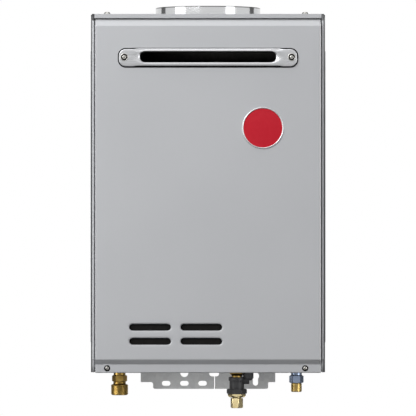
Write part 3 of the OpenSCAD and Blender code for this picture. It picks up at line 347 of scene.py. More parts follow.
pits, alloy = (0.2, 0.1), {"Metallic": 0.9, "Roughness": 0.45}
finishes["cast_alloy"] = grained("Die-cast aluminium", 1.2, 4.0, "#A6A7A9", "#BFC0C2", None, pits, **alloy)
print("cast:", finishes["cast_alloy"].name)

# %% [markdown]
# ## Moulded, foamed and enamelled parts
# Black glass-filled polymer keeps the spark-eroded grain of its mould, near 0.8 mm. Foam rubber shows its
# cells, rubber is nearly smooth and dull, and the enamels are glossy. Each is a coloured dielectric with
# its own grain, so one list gives all of them: two close tones, a grain size, a bump depth, a roughness,
# a coat and a shine.

# %% Polymers, rubbers, enamels and ceramic
for slot, name, dark, light, grain_mm, depth_mm, rough, coat, shine in (
    ("black_polymer", "Moulded glass-filled polymer, black", "#38383A", "#464647", 0.8, 0.08, 0.4, 0.0, 0.5),
    ("white_polymer", "Moulded acetal, white", "#DADAD4", "#E6E6E1", 0.8, 0.04, 0.4, 0.0, 0.5),
    ("rubber", "Moulded rubber, black", "#0D0D0D", "#161616", 1.5, 0.05, 0.8, 0.0, 0.08),
    ("foam_rubber", "Closed-cell foam rubber", "#232325", "#3A3A3D", 0.9, 0.35, 0.95, 0.0, 0.2),
    ("black_enamel", "Black enamel on pressed steel", "#151517", "#202023", 2.5, 0.04, 0.3, 0.2, 0.5),
    ("badge_enamel", "Fired red enamel", "#C4172A", "#CC2233", 6.0, 0.03, 0.3, 0.1, 0.2),
    ("white_ceramic", "Glazed alumina", "#E4E1D6", "#F0EEE6", 3.0, 0.03, 0.22, 0.4, 0.5),
    ("component_resin", "Moulded component cases", "#4B4C4E", "#6E6F70", 1.0, 0.08, 0.5, 0.0, 0.5),
):
    gloss = {"Specular_IOR_Level": shine, "Coat_Weight": coat, "Coat_Roughness": 0.08}
    bump = (0.5, depth_mm)
    finishes[slot] = grained(name, grain_mm, 3.0, dark, light, None, bump, Roughness=rough, IOR=1.5, **gloss)
print("moulded and enamelled:", len(finishes), "finishes so far")

# %% [markdown]
# ## Circuit laminate and sight glass
# The board is glass laminate under green solder mask, with copper tracks that show through as lighter
# lines a few millimetres apart. A brick pattern with thin mortar draws them. The sight glass is clear,
# with the green tint of its edge.

# %% Laminate and glass
laminate, shader = start_finish("Solder-masked glass laminate", Roughness=0.32, IOR=1.5)
place = add(laminate, "TexCoord").outputs["Object"]
turned_up = add(laminate, "Mapping", {"Vector": place, "Rotation": (math.pi / 2, 0.0, 0.0)})
mask = {"Color1": tone("#14532C"), "Color2": tone("#174F2B"), "Mortar": tone("#3C7A4B")}
grid = {"Vector": turned_up.outputs[0], "Scale": per_metre(10), "Mortar Size": 0.035}
feed(shader, Base_Color=add(laminate, "TexBrick", mask | grid).outputs["Color"])
finishes["green_laminate"] = laminate

clear = {"Roughness": 0.05, "IOR": 1.5, "Transmission_Weight": 1.0}
finishes["sight_glass"] = grained("Clear heat-proof glass", 8, 2.0, "#DDEAE8", "#EAF3F1", **clear)
print("finishes:", len(finishes))

# %% [markdown]
# ## Finishes on the frame
# The record says which finish each piece of the frame has. Those pieces keep their shape, so they only
# get a new material. The cone and nut of the cold inlet are brighter in the photograph than the other
# brass.

# %% Dress the pieces of the frame
node_slot = {part["node"]: part["material_slot"] for part in frame["record"]["subparts"]}
bright_nodes = ("inlet_tail", "compression_nut", "olive")


def finish_of(node):
    """The finish of a node: that of its slot, or bright brass on the cold inlet."""
    return finishes["bright_brass" if node in bright_nodes else node_slot[node]]


for node in node_slot:
    materials = frame["nodes"][node].data.materials
    materials.clear()
    materials.append(finish_of(node))


def stand_in(piece, node, finish=None):
    """The new piece rides on the node's body, replaces the node and takes its finish."""
    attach(piece, frame["nodes"][node]["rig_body"])
    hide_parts(node)
    piece.data.materials.append(finishes[finish] if finish else finish_of(node))
    return piece


def low_high(node):
    """A node's lowest and highest corner in millimetres."""
    return [np.array(corner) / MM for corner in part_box(node)]


print("dressed", len(node_slot), "pieces")

# %% [markdown]
# ## The front cover
# The cover is one sheet of 1 mm steel: a foot flange, a lower bevel, the flat face, an upper bevel, and
# edges folded back on the sides and the top. A press brake leaves small round bends, and those carry the
# bright and dark lines of the photograph. A box with a bevel modifier would come close, but the slots and
# dimples need their own lips. So the profile is drawn first as a line with round corners, in depth and
# height.

# %% A profile with round bends
def soft_step(value):
    """0 below 0 and 1 above 1, joined by three squares less two cubes."""
    value = np.clip(value, 0, 1)
    return value * value * (3 - 2 * value)


def bent(corners, radii, steps=7):
    """A line through corners, each inner corner swapped for an arc that touches both of its sides.

    The arc's points are the corner's circle centre plus the radius, turned step by step from one side to
    the other."""
    corners = np.asarray(corners, float)
    out = [corners[:1]]
    for before, corner, after, radius in zip(corners, corners[1:], corners[2:], radii):
        come = (corner - before) / np.linalg.norm(corner - before)
        leave = (after - corner) / np.linalg.norm(after - corner)
        turn = np.arctan2(come[0] * leave[1] - come[1] * leave[0], come @ leave)
        side = np.sign(turn) * np.array([-come[1], come[0]])
        centre = corner - come * radius * np.tan(abs(turn) / 2) + side * radius
        angle = np.linspace(0, turn, steps)[:, None]
        out.append(centre - radius * (np.cos(angle) * side - np.sin(np.abs(angle)) * come))
    return np.concatenate(out + [corners[-1:]])


low, high = low_high("front_cover")
face_y, foot_z, top_z = low[1], low[2], high[2]
wider, bevel_depth = 1.0, 8
half = high[0] + wider
ledge_y, back_y = face_y + bevel_depth, high[1]
profile = bent(
    [
        (ledge_y + 0.9, foot_z - 0.9),
        (ledge_y, foot_z + 0.2),
        (ledge_y, foot_z + 12.2),
        (face_y, foot_z + 19.1),
        (face_y, top_z - 9.9),
        (ledge_y, top_z),
        (back_y, top_z),
    ],
    [1.2, 2.0, 2.2, 2.4, 1.6],
)[:-1]
print("cover face at", face_y, "half width", half, "profile points", len(profile))

# %% [markdown]
# ## Lines for the cover's grid
# The face has four air slots, the cut for the exhaust and two screws in its foot. Grid lines run along
# the edges of a rectangle around each of them, close together there and far apart elsewhere. The cells
# inside each rectangle are then left out, to be filled by a ring that fits the hole.

# %% Grid lines
def filled(lines, widest):
    """Lines sorted, with even steps added in each gap: widest gives the largest step at the gap's middle."""
    lines = np.unique(np.round(lines, 4))
    parts = []
    for start, end in zip(lines, lines[1:]):
        steps = max(1, math.ceil((end - start) / widest((start + end) / 2)))
        parts.append(np.linspace(start, end, steps + 1)[:-1])
    return np.concatenate(parts + [lines[-1:]])


def widest_across(x):
    """Fine beside the screws, coarse elsewhere."""
    return 0.9 if np.min(np.abs(cover_screw_x - x)) < dimple_room else 4.0


def widest_up(z):
    """Fine at the foot, a little coarser at the air slots and the outlet, and coarse on the plain face."""
    if z < foot_z + 80:
        return 0.8 if z < foot_z + 20 else 1.25
    return 2.0 if abs(z - outlet_z) < 17 else 30.0


Hole = namedtuple("Hole", "x z half_l half_h radius room_x room_z")
outlet_z = -66.4
cover_screw_x = np.array([-151.2, 145.6])
cover_screw_z = foot_z + 6.1
dimple_room, fold = 9, 1.0
slot_x, slot_up = (-86.65, -9.95), (46.6, 67.7)
slots = [Hole(x, foot_z + rise, 31.0, 5.0, 5.0, 5.0, 5.0) for x in slot_x for rise in slot_up]
outlet = Hole(0.0, outlet_z, 105.3, 11.35, 9.2, 6.0, 4.5)
holes = [*slots, outlet]
x_edges = [hole.x + side * (hole.half_l + hole.room_x) for hole in holes for side in (-1, 1)]
z_edges = [hole.z + side * (hole.half_h + hole.room_z) for hole in holes for side in (-1, 1)]
x_edges += [*(cover_screw_x - dimple_room), *(cover_screw_x + dimple_room)]
across = filled([fold - half, half - fold, *x_edges], widest_across)
up = filled([*profile[:, 1], *z_edges], widest_up)
depth = np.interp(up, profile[:, 1], profile[:, 0])
print("grid of", len(up), "rows and", len(across), "columns")

# %% [markdown]
# ## Folding the sides
# At each side the sheet turns back through a round bend and then runs straight to the seal. A point of
# the bend is the profile's point, moved in against its normal by the bend's radius and out again at the
# angle reached. The top flange ends in the same bend, so the corner closes without a gap.

# %% Cover skin
line = np.stack([depth, up], 1)
tangent = np.gradient(line, axis=0)
tangent[-1] = (1, 0)
tangent /= np.linalg.norm(tangent, axis=1, keepdims=True)
normal = np.stack([-tangent[:, 1], tangent[:, 0]], 1)
normal[up < foot_z + 2] = (-1, 0)


def folded_rows(line, normal, wall):
    """Rows of the cover: the middle keeps the profile, the bend follows the fold, the wall runs back.

    A bend point at angle a is the profile point less (1 - cos a) radii of its normal, and radius times
    sin a outside."""
    angle = np.linspace(0, math.pi / 2, 6)
    inset = line[:, None] - normal[:, None] * fold * (1 - np.cos(angle))[None, :, None]
    reach = np.broadcast_to(half - fold + fold * np.sin(angle), inset.shape[:2])
    right = np.concatenate([reach[..., None], inset], -1)[:, 1:]
    if wall:
        share = np.linspace(0, 1, 4)[1:]
        run = np.repeat(right[:, -1:], 3, 1)
        run[..., 1] += (back_y - run[..., 1]) * share
        right = np.concatenate([right, run], 1)
    left = right[:, ::-1] * (-1, 1, 1)
    middle = np.stack(np.broadcast_arrays(across[None], line[:, :1], line[:, 1:]), -1)
    return np.concatenate([left, middle, right], 1)


front = folded_rows(line, normal, True)
share = np.linspace(0, 1, 4)[:, None]
flange_line = np.concatenate([depth[-1] + share * (back_y - depth[-1]), 0 * share + up[-1]], 1)
flange = folded_rows(flange_line, np.tile([0.0, 1.0], (4, 1)), False)

dimple_r, dimple_slope = 8.4, 1.8
for x in cover_screw_x:
    reach = np.hypot(front[..., 0] - x, front[..., 2] - cover_screw_z)
    sink = soft_step((dimple_r - reach) / dimple_slope) * (np.abs(front[..., 0] - x) < dimple_room)
    front[..., 1] += np.maximum(ledge_y - front[..., 1], 0) * sink

centre = (front[:-1, :-1] + front[1:, 1:]) / 2
keep = np.ones(centre.shape[:2], bool)
for hole in holes:
    wide = np.abs(centre[..., 0] - hole.x) < hole.half_l + hole.room_x
    tall = np.abs(centre[..., 2] - hole.z) < hole.half_h + hole.room_z
    keep &= ~(wide & tall & (centre[..., 1] < ledge_y - 7))
print("cells kept:", int(keep.sum()), "of", keep.size)

# %% [markdown]
# ## Lips round the holes
# A punch draws the edge of each air slot inwards, so it ends in a small round lip that catches the light
# along the lower side. Each lip is a ring of points. It starts on the rectangle's edge, meets the hole
# along the shortest way from the hole's middle line, rolls inwards and goes straight back.

# %% Rings that close the holes
def rectangle(xs, zs):
    """Grid points round a rectangle, counter-clockwise from the front, with the first one repeated."""
    bottom_side = np.stack([xs, 0 * xs + zs[0]], 1)[:-1]
    right_side = np.stack([0 * zs + xs[-1], zs], 1)[:-1]
    top_side = np.stack([xs[::-1], 0 * xs + zs[-1]], 1)[:-1]
    left_side = np.stack([0 * zs + xs[0], zs[::-1]], 1)
    return np.concatenate([bottom_side, right_side, top_side, left_side])


def rim_of(points, half_l, half_h, radius, extra=0.0):
    """Nearest point of a rounded rectangle, widened by extra: clamp to its core, go out by the radius."""
    core = np.clip(points, (radius - half_l, radius - half_h), (half_l - radius, half_h - radius))
    away = points - core
    return core + away / np.linalg.norm(away, axis=1, keepdims=True) * (radius + extra)


def upright(rows, x=0.0, z=0.0):
    """Rows of (points across and up, depth) as one sheet of points in space, moved to x and z."""
    return np.stack([np.stack([p[:, 0] + x, 0 * p[:, 0] + y, p[:, 1] + z], 1) for p, y in rows])


def lipped_ring(hole, roll, back):
    """Rows from the rectangle to the hole: flat, then a quarter roll inwards, then straight back."""
    xs = across[np.abs(across - hole.x) < hole.half_l + hole.room_x + 0.01]
    zs = up[np.abs(up - hole.z) < hole.half_h + hole.room_z + 0.01]
    outer = rectangle(xs, zs) - (hole.x, hole.z)
    size = (hole.half_l, hole.half_h, hole.radius)
    rows = [(outer, face_y)]
    for a in np.linspace(0, math.pi / 2, 6):
        rows.append((rim_of(outer, *size, roll * (1 - math.sin(a))), face_y + roll * (1 - math.cos(a))))
    rows.append((rim_of(outer, *size), face_y + back))
    return upright(rows, hole.x, hole.z)


rings = [lipped_ring(hole, 2.0, 3.0) for hole in slots] + [lipped_ring(outlet, 0.5, 0.9)]
cover = surface("front_cover_skin", [(front, keep), flange, *rings], outward=False)
wall = cover.modifiers.new("sheet thickness", "SOLIDIFY")
wall.thickness, wall.offset, wall.use_even_offset = 1.0 * MM, -1.0, True
stand_in(cover, "front_cover")

# %% [markdown]
# ## The exhaust trim
# Around the long exhaust slot lies a pressed stainless plate with rounded ends. It is crowned: its
# inner lip rolls into the slot and its outer edge rolls down to the cover. Offsetting both outlines by
# the same few millimetres keeps the rolls even all round, although the plate is wide at its ends and
# narrow along the slot.

# %% Trim plate
def outline(half_l, half_h, radius, per_corner=14, per_side=24):
    """A rounded rectangle, counter-clockwise, with the first point repeated: arcs and straights by turns."""
    arcs = []
    for turn, (sx, sz) in enumerate(((1, 1), (-1, 1), (-1, -1), (1, -1))):
        a = np.linspace(0, math.pi / 2, per_corner) + turn * math.pi / 2
        x = sx * (half_l - radius) + radius * np.cos(a)
        z = sz * (half_h - radius) + radius * np.sin(a)
        arcs.append(np.stack([x, z], 1))
    path = []
    for arc, after in zip(arcs, arcs[1:] + arcs[:1]):
        share = np.linspace(0, 1, per_side)[1:-1, None]
        path += [arc, arc[-1] + share * (after[0] - arc[-1])]
    path = np.concatenate(path)
    return np.concatenate([path, path[:1]])


trim_low, trim_high = low_high("exhaust_trim")
trim_half = (trim_high[[0, 2]] - trim_low[[0, 2]]) / 2
trim_mid = (trim_high[2] + trim_low[2]) / 2
trim_y = trim_low[1]
trim_corner, shade_band_width, edge_roll, trim_back = 12.0, 1.7, 1.0, 4.0
trim_slot = (101.8, 8.15, 7.8)
outer = outline(*trim_half, trim_corner, per_corner=24, per_side=150)
drop = np.array([0.0, outlet_z - 0.2 - trim_mid])
along = soft_step((113 - np.abs(outer[:, :1])) / 8)
# the plate's edge sits 1 mm higher over the slot, so more of the black band shows below it: painted shadow
# under the trim
lift = 1.0 * along * (0, 1)


def slot_line(extra):
    """The slot's rim, widened by extra."""
    return rim_of(outer - drop, *trim_slot, extra) + drop


def edge_line(less):
    """The plate's outer edge, inside the dark band's and narrowed by less."""
    return rim_of(outer, *trim_half, trim_corner, -shade_band_width - less) + lift


def trim_rows():
    """Rows across the plate, from behind its lip to behind its edge: offsets of slot and outline.

    The lip's roll is a quarter ellipse, 2.6 mm wide below the slot, 0.6 mm above it and 12 mm at its ends.
    Over the slot the plate leans back to the sky and sits 1 mm higher, so its black band shows less above it
    and more below, where that band paints the trim's shadow."""
    facing = slot_line(1.0) - slot_line(0.0)
    roll = 2.6 - 2.0 * np.clip(facing[:, 1:], 0, 1) + 9.4 * facing[:, :1] ** 6
    sunk = 1.9 + 0.9 * facing[:, 0] ** 6
    crown = 0.2 + 1.1 * along[:, 0] * (outer[:, 1] > 0)
    angle = np.linspace(0, math.pi / 2, 9)
    rows = [(slot_line(0.0), trim_y + trim_back)]
    rows += [(slot_line(roll * (1 - math.cos(a))), trim_y + sunk * (1 - math.sin(a))) for a in angle]
    inner_end, outer_end = slot_line(roll), edge_line(edge_roll)
    for share in np.linspace(0, 1, 8)[1:]:
        rows.append((inner_end + share * (outer_end - inner_end), trim_y + crown * share**1.5))
    for a in angle[1:]:
        rows.append((edge_line(edge_roll * (1 - math.sin(a))), trim_y + crown + 1.4 * (1 - math.cos(a))))
    return upright(rows + [(edge_line(0.0), trim_y + 3.0), (edge_line(0.0), trim_y + trim_back)], z=trim_mid)


ring = trim_rows()
trim = surface("exhaust_trim_plate", [np.concatenate([ring, ring[:1]])], sharp=50)
stand_in(trim, "exhaust_trim")

# %% [markdown]
# ## A dark band under the trim
# The plate sits on a black rubber band that shows as a dark line round it: painted shade for the shadow
# gap under its edge. Its rows start behind the plate, run along the cover to the outline, round the outer
# side by a quarter of an ellipse and go back in under the plate.

# %% Dark band under the trim, painted shade
# a black rubber band round the plate: painted shade for the shadow gap under its edge
inner, seat_y = edge_line(0.2), trim_y + 3.98
rows = [(inner, seat_y), (outer, seat_y)]
for a in np.linspace(0, math.pi / 2, 5):
    rim = rim_of(outer, *trim_half, trim_corner, -0.6 * (1 - math.cos(a)))
    rows.append((rim, trim_y + 3.4 - 0.5 * math.sin(a)))
ring = upright(rows + [(inner, trim_y + 2.9), (inner, seat_y)], z=trim_mid)
trim_shade_band = surface("exhaust_trim_shade_band", [ring])
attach(trim_shade_band, "cover")
trim_shade_band.data.materials.append(finishes["rubber"])

# %% [markdown]
# ## Behind the openings
# A dark grey lining in the exhaust duct and a near-black screen behind the air slots paint the shade
# inside both openings, so both read as black. The lining follows the duct and opens into the hood, a
# rounded rectangle that changes size on its way back. The screen is a woven cloth, a sheet whose depth
# is one sine wave times another, drawn at a 3 mm pitch.

# %% Dark lining and air screen, painted shade
# dark lining and near-black screen: painted shade inside the exhaust duct and behind the air slots
for name, dark, light in (
    ("Dark duct lining sheet", "#4C4B49", "#666360"),
    ("Black screen cloth", "#161616", "#232221"),
):
    finishes[name] = grained(name, 6, 4.0, dark, light, Roughness=0.9, Specular_IOR_Level=0.1)

low, high = low_high("exhaust_hood")
hood_sheet = 2
hood_half, hood_mid = (high[[0, 2]] - low[[0, 2]]) / 2 - hood_sheet, (high[2] + low[2]) / 2
column_front = low_high("exchanger_shell")[0][1]
duct = outline(102.4, 8.5, 7.8) + (0, outlet_z)
hood = outline(*hood_half, 3.0) + (0, hood_mid)
hood_middle = 0 * hood + (0, hood_mid)
rows = [(duct, face_y + 1.8), (duct, column_front + hood_sheet), (hood, column_front + hood_sheet)]
rows += [(hood, high[1] - hood_sheet), (hood_middle, high[1] - hood_sheet)]
lining = surface("exhaust_lining", [upright(rows)])
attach(lining, "casing")
lining.data.materials.append(finishes["Dark duct lining sheet"])

step, half_pitch = 0.75, 1.5
screen_x, screen_z = np.meshgrid(np.arange(-124, 28, step), np.arange(foot_z + 36, foot_z + 79, step))
weave = 0.35 * np.sin(screen_x * math.pi / half_pitch) * np.sin(screen_z * math.pi / half_pitch)
screen = surface("air_screen", [np.stack([screen_x, face_y + 5 + weave, screen_z], -1)], outward=False)
cloth = screen.modifiers.new("wire thickness", "SOLIDIFY")
cloth.thickness = 0.4 * MM
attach(screen, "cover")
screen.data.materials.append(finishes["Black screen cloth"])

# %% [markdown]
# ## Pan-head screws
# The screws have a low domed head with a cross recess and a threaded shank. A cross cut with a boolean
# would leave hard, messy edges. Here the head is a height over its disc, a dome less a cross that gets
# shallower outwards, and the shank is a radius that rises and falls along a helix.

# %% Screw shape
def lathe(profile, around=144):
    """Turns a profile of (radius, height) about its axis: each point goes round a full circle."""
    profile = np.asarray(profile, float)
    turn = np.linspace(0, 2 * math.pi, around + 1)[None]
    radius, height = profile[:, :1], profile[:, 1:]
    return np.stack([radius * np.cos(turn), radius * np.sin(turn), height + 0 * turn], -1)


def pan_screw(head_r, head_h, shank_r, shank_l, around=96, washer_r=0.0):
    """Points of a screw with its seat at height 0 and its axis along height.

    Head: a low dome inside two thirds of the radius and a sine-shaped flank outside it. Recess: depth
    times a soft cross mask. Washer, where its radius is given: half a circle across its rim. Shank:
    radius less a saw wave of the height over the pitch minus the turn."""
    pitch, thread_depth, bead_half, bead_high, tip = 1.3, 0.3, 0.65, 0.6, 0.3
    turn = np.linspace(0, 2 * math.pi, around + 1)[None]
    radius = head_r * np.sin(np.linspace(0, math.pi / 2, 40))[:, None]
    share = radius / head_r
    flank = np.sin(np.clip((1 - share) / 0.36, 0, 1) * math.pi / 2)
    rise = head_h * (0.84 * flank + 0.16 * np.clip(1 - (share / 0.66) ** 2, 0, 1))
    off_arm = np.minimum(np.abs(radius * np.cos(turn)), np.abs(radius * np.sin(turn)))
    arm = np.clip(1.35 - off_arm / 0.55, 0, 1)
    fade = np.clip((0.6 * head_r - radius) / (0.25 * head_r), 0, 1)
    cap_z = np.maximum(rise, 0.25) - 0.75 * head_h * arm * fade
    bead = np.linspace(math.pi, 0, 9 if washer_r else 0)[:, None]
    brim_r = np.concatenate([[[head_r]], washer_r - bead_half + bead_half * np.cos(bead)])
    brim_z = np.concatenate([[[0.0]], bead_high * np.sin(bead)])
    z = np.linspace(0, -shank_l, 8 * int(shank_l))[1:, None]
    saw = np.abs((z / pitch - turn / (2 * math.pi)) % 1 - 0.5) * 2
    thread = shank_r - thread_depth * saw * np.clip(-z / 2, 0, 1)
    end_r = np.array([[shank_r], [0.5 * shank_r], [0.0]])
    end_z = np.array([[0.0], [-shank_l - tip], [-shank_l - tip]])
    all_r = np.concatenate([a + 0 * turn for a in (radius, brim_r, end_r[:1], thread, end_r[1:])])
    all_z = np.concatenate([a + 0 * turn for a in (cap_z, brim_z, end_z[:1], z, end_z[1:])])
    return np.stack([all_r * np.cos(turn), all_r * np.sin(turn), all_z], -1)


wide_head = 4.9
cover_screw = pan_screw(3.4, 2.6, 2.0, 8.7)
top_screw = pan_screw(wide_head, 3.4, 2.0, 5.7)
trim_screw = pan_screw(3.4, 2.3, 2.0, 7.7, washer_r=5.9)
bracket_screw = pan_screw(wide_head, 3.4, 2.0, 6.7, 48)
print("rows and columns of a cover screw:", cover_screw.shape[:2])

# %% [markdown]
# ## Screws in their places
# Each screw is a copy of its shape, set on the seat that the imported piece gives and turned by an angle of
# its own, because real crosses never line up. Those on the front sit in black rubber rings, which paint
# the shadow gap round each head, and those of the trim also in a rounded steel cup washer.

# %% Screws
def screws(node, spots, facing, shape, spins):
    """Copies of one screw at their spots. Facing's rows say where across, up and height point."""
    sheets = []
    for spot, spin in zip(spots, spins):
        c, s = math.cos(spin), math.sin(spin)
        turned = shape @ np.array([[c, s, 0], [-s, c, 0], [0, 0, 1]])
        sheets.append(turned @ facing + np.array(spot))
    return stand_in(surface(node + "_heads", sheets, sharp=40), node)


to_front = np.array([(1, 0, 0), (0, 0, 1), (0, -1, 0)], float)
to_top = np.eye(3)
to_wall = np.array([(-1, 0, 0), (0, 0, 1), (0, 1, 0)], float)
case_top = low_high("top_panel")[1][2]
cover_spots = [(x, ledge_y, cover_screw_z) for x in cover_screw_x]
top_spots = [(x, low_high("top_screws")[0][1] + wide_head, case_top) for x in cover_screw_x]
trim_spots = [(x, trim_y, outlet_z - 0.8) for x in (-125.2, 125.2)]
screws("cover_screws", cover_spots, to_front, cover_screw, (0.3, 0.9))
screws("top_screws", top_spots, to_top, top_screw, (0.5, 0.2))
screws("trim_screws", trim_spots, to_front, trim_screw, (0.6, 0.1))
# black rubber rings under the front screws: painted shade for the shadow gap round each head
ring = lathe([(3.2, 0.02), (4.5, 0.02), (4.65, 0.3), (4.4, 0.6), (3.9, 0.7), (3.2, 0.6), (3.2, 0.02)], 64)
shade_rings = surface("screw_shade_rings", [ring @ to_front + np.array(spot) for spot in cover_spots + trim_spots])
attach(shade_rings, "cover")
shade_rings.data.materials.append(finishes["rubber"])
wall_seat = low_high("case_shell")[1][1] + 1.6
lowest, highest = low_high("bracket_screws")
bracket_z = (lowest[2] + wide_head, highest[2] - wide_head)
bracket_spots = [(x, wall_seat, z) for z in bracket_z for x in (-90, -40, 40, 90)]
screws("bracket_screws", bracket_spots, to_wall, bracket_screw, np.arange(8) * 0.7)

# %% [markdown]
# ## A plain badge
# At the upper right sits a round badge, 63 mm across: a domed red enamel disc in a turned steel rim. Both
# are profiles turned about one axis, so each is a radius and a height along a line, times a full circle.

# %% Badge
low, high = low_high("badge")
badge_mid = np.array([(low[0] + high[0]) / 2, high[1], (low[2] + high[2]) / 2])
disc_r, rim_r, seat = 29.0, 31.3, 0.02
rim = [(disc_r, seat), (disc_r, 0.7)]
rim += [(30.15 + 1.15 * math.cos(a), 0.75 + 1.1 * math.sin(a)) for a in np.linspace(math.pi, 0, 13)]
rim += [(rim_r, seat), (disc_r, seat)]
dome = [(r, 0.55 + 0.75 * math.cos(r / disc_r * math.pi / 2)) for r in np.linspace(0, disc_r, 14)]
dome += [(disc_r, seat), (0, seat)]
badge_rim = surface("badge_rim", [lathe(rim) @ to_front + badge_mid])
badge_face = surface("badge_disc", [lathe(dome) @ to_front + badge_mid])
stand_in(badge_face, "badge")
stand_in(badge_rim, "badge", "stainless")

# %% [markdown]
# ## The flue collar
# The collar is a short polished tube with a flange, riveted to the top. Its upper edge is rolled smooth
# and a small fillet joins the tube to the flange, and both of these draw thin lines of light in the
# mirror finish.

# %% Collar
low, high = low_high("flue_collar")
collar_y = (low[1] + high[1]) / 2
seat, lip = low[2], high[2]
flange_r, bore_r, bend_r = 88.0, 78.8, 0.6
tube = [(flange_r, seat), (flange_r, seat + 0.7), (flange_r - 0.3, seat + 1.0)]
for a in np.linspace(0, math.pi / 2, 8):
    tube.append((80.6 - bend_r * math.sin(a), seat + 1.6 - bend_r * math.cos(a)))
for a in np.linspace(0, math.pi, 11):
    tube.append((79.4 + bend_r * math.cos(a), lip - bend_r + bend_r * math.sin(a)))
tube += [(bore_r, seat), (flange_r, seat)]
collar = surface("flue_collar_tube", [lathe(tube, 256) + np.array([0, collar_y, 0])])
stand_in(collar, "flue_collar")

# %% [markdown]
# ## The case
# The case is one sheet bent round the back. Its two side walls have a raised field pressed into them, and
# its front edges are rolled into hems. A box would need all of these added on. So the plan is drawn as
# one line, from one hem round the back to the other, and carried up the case. At the foot the roll is
# pressed flat, and there a second, flatter plan takes over. Under the top panel it only steps back. The
# fields are a height over the side walls.

# %% Plan of the case
case_low, case_high = low_high("case_shell")
wall_x, corner = 175.0, 4.0
rear_y = case_high[1]
hem_inner, hem_front = wall_x - 4.7, case_low[1]
hem_start = [(hem_inner + 1.5, hem_front + 6.8), (hem_inner, hem_front + 5.4)]
hem_end = [(wall_x + 0.6, hem_front + 8.5), (wall_x, hem_front + 13.5), (wall_x, hem_front + 21)]
full = [(hem_inner, hem_front), (wall_x - 1.8, hem_front)]
rolled = bent(hem_start + full + hem_end, [0.9, 1.1, 1.1, 2.0, 3.0])
flat = [(hem_inner, hem_front + 1.8), (hem_inner + 1.1, hem_front + 1.1)]
pressed = bent(hem_start + flat + hem_end, [0.9, 0.6, 0.6, 2.0, 3.0])
print("hem plan points:", len(rolled), len(pressed))

# %% [markdown]
# ## Raising the case from its plan
# Each row of the sheet is the plan at one height. The hem's part of it is a mix of the two plans, weighted
# by how far the height is from the ends of the roll. The side wall moves out by the field's height, and
# the corner and the back follow as they are. The other half is its mirror image, and a Solidify modifier
# gives the sheet its thickness.

# %% Case sheet
slope = 5


def widest_from(spots):
    """A rule for filled: fine near the spots, coarse elsewhere."""
    return lambda value: 0.55 if np.min(np.abs(np.array(spots) - value)) < slope else 45.0


def raised(value, ends):
    """Share of the field's height: a soft step up after its first end and one down before its last."""
    return soft_step((value - ends[0] - 0.8) / 3.4) * soft_step((ends[1] - 0.8 - value) / 3.4)


field_y = np.array([hem_front + 26, rear_y - 26])
field_z = np.array([case_low[2] + 41, case_high[2] + 1 - 51.5])
roll_z = np.array([-521.5, -12.5])
field_ends = [end + shift for end in (*field_y, *field_z) for shift in (-slope, slope)]
wall_y = filled([hem_front + 21, *field_ends[:4], rear_y - corner], widest_from(field_y))
z_lines = [case_low[2], *(roll_z - 2.5), *(roll_z + 2.5), *field_ends[4:], case_high[2]]
case_z = filled(z_lines, widest_from([*field_z, *roll_z]))
at_foot = soft_step((roll_z[0] + 2 - case_z) / 2)[:, None, None]
at_top = soft_step((case_z - roll_z[1] + 2) / 2)[:, None, None]
hem = (1 - at_foot) * (rolled + at_top * np.array([0, 1.2])) + at_foot * pressed
field = (case_high[0] - wall_x) * raised(wall_y, field_y)[None] * raised(case_z, field_z)[:, None]
wall = np.stack(np.broadcast_arrays(wall_x + field, wall_y[None]), -1)
angle = np.linspace(0, math.pi / 2, 8)[:, None]
bend = np.concatenate([wall_x - corner + corner * np.cos(angle), rear_y - corner + corner * np.sin(angle)], 1)
back = np.stack([np.linspace(wall_x - corner, 0, 9), np.full(9, rear_y)], 1)[1:]
rest = np.broadcast_to(np.concatenate([bend, back])[None], (len(case_z), len(bend) + len(back), 2))
half_plan = np.concatenate([hem[:, :-1], wall[:, :-1], rest], 1)
heights = np.broadcast_to(case_z[:, None, None], (*half_plan.shape[:2], 1))
half_sheet = np.concatenate([half_plan, heights], -1)
sheet = np.concatenate([half_sheet, half_sheet[:, -2::-1] * (-1, 1, 1)], 1)
case = surface("case_shell_sheet", [sheet], outward=False, sharp=40)
wall = case.modifiers.new("sheet thickness", "SOLIDIFY")
wall.thickness, wall.offset = 0.9 * MM, -1.0
stand_in(case, "case_shell")

# %% [markdown]
# ## Webs at the foot
# A narrow slit is left between the case and the cover, and at the foot no light comes through it in the
# photograph. A small web of sheet behind each slit closes it: a flat ring of four corners, carried up by
# 28 mm and closed at both ends.

# %% Foot webs
webs = []
for side in (-1, 1):
    near_x, far_x = side * (wall_x - 1.5), side * (half - 1.5)
    edge = [[near_x, 1.0], [far_x, 1.0], [far_x, 1.8], [near_x, 1.8], [near_x, 1.0]]
    edge = np.array(edge) + (0, back_y)
    heights = np.array([case_low[2] + 0.3, case_low[2] + 28])[:, None]
    web = np.stack(np.broadcast_arrays(edge[None, :, 0], edge[None, :, 1], heights), -1)
    cap = np.broadcast_to(web.mean(1, keepdims=True), web.shape)
    webs.append(np.concatenate([cap[:1], web, cap[1:]]))
foot_webs = surface("foot_webs", webs)
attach(foot_webs, "casing")
foot_webs.data.materials.append(paint)

# %% [markdown]
# ## Turned fittings with flats and threads
# Each pipe fitting is turned from bar. Its hexagon is what is left where a flat cuts into the turned
# shape, so the radius at any angle is the smaller of the two, and that alone draws the curved chamfers of
# a real nut. A thread is a radius that falls and rises once per pitch, shifted by the turn.

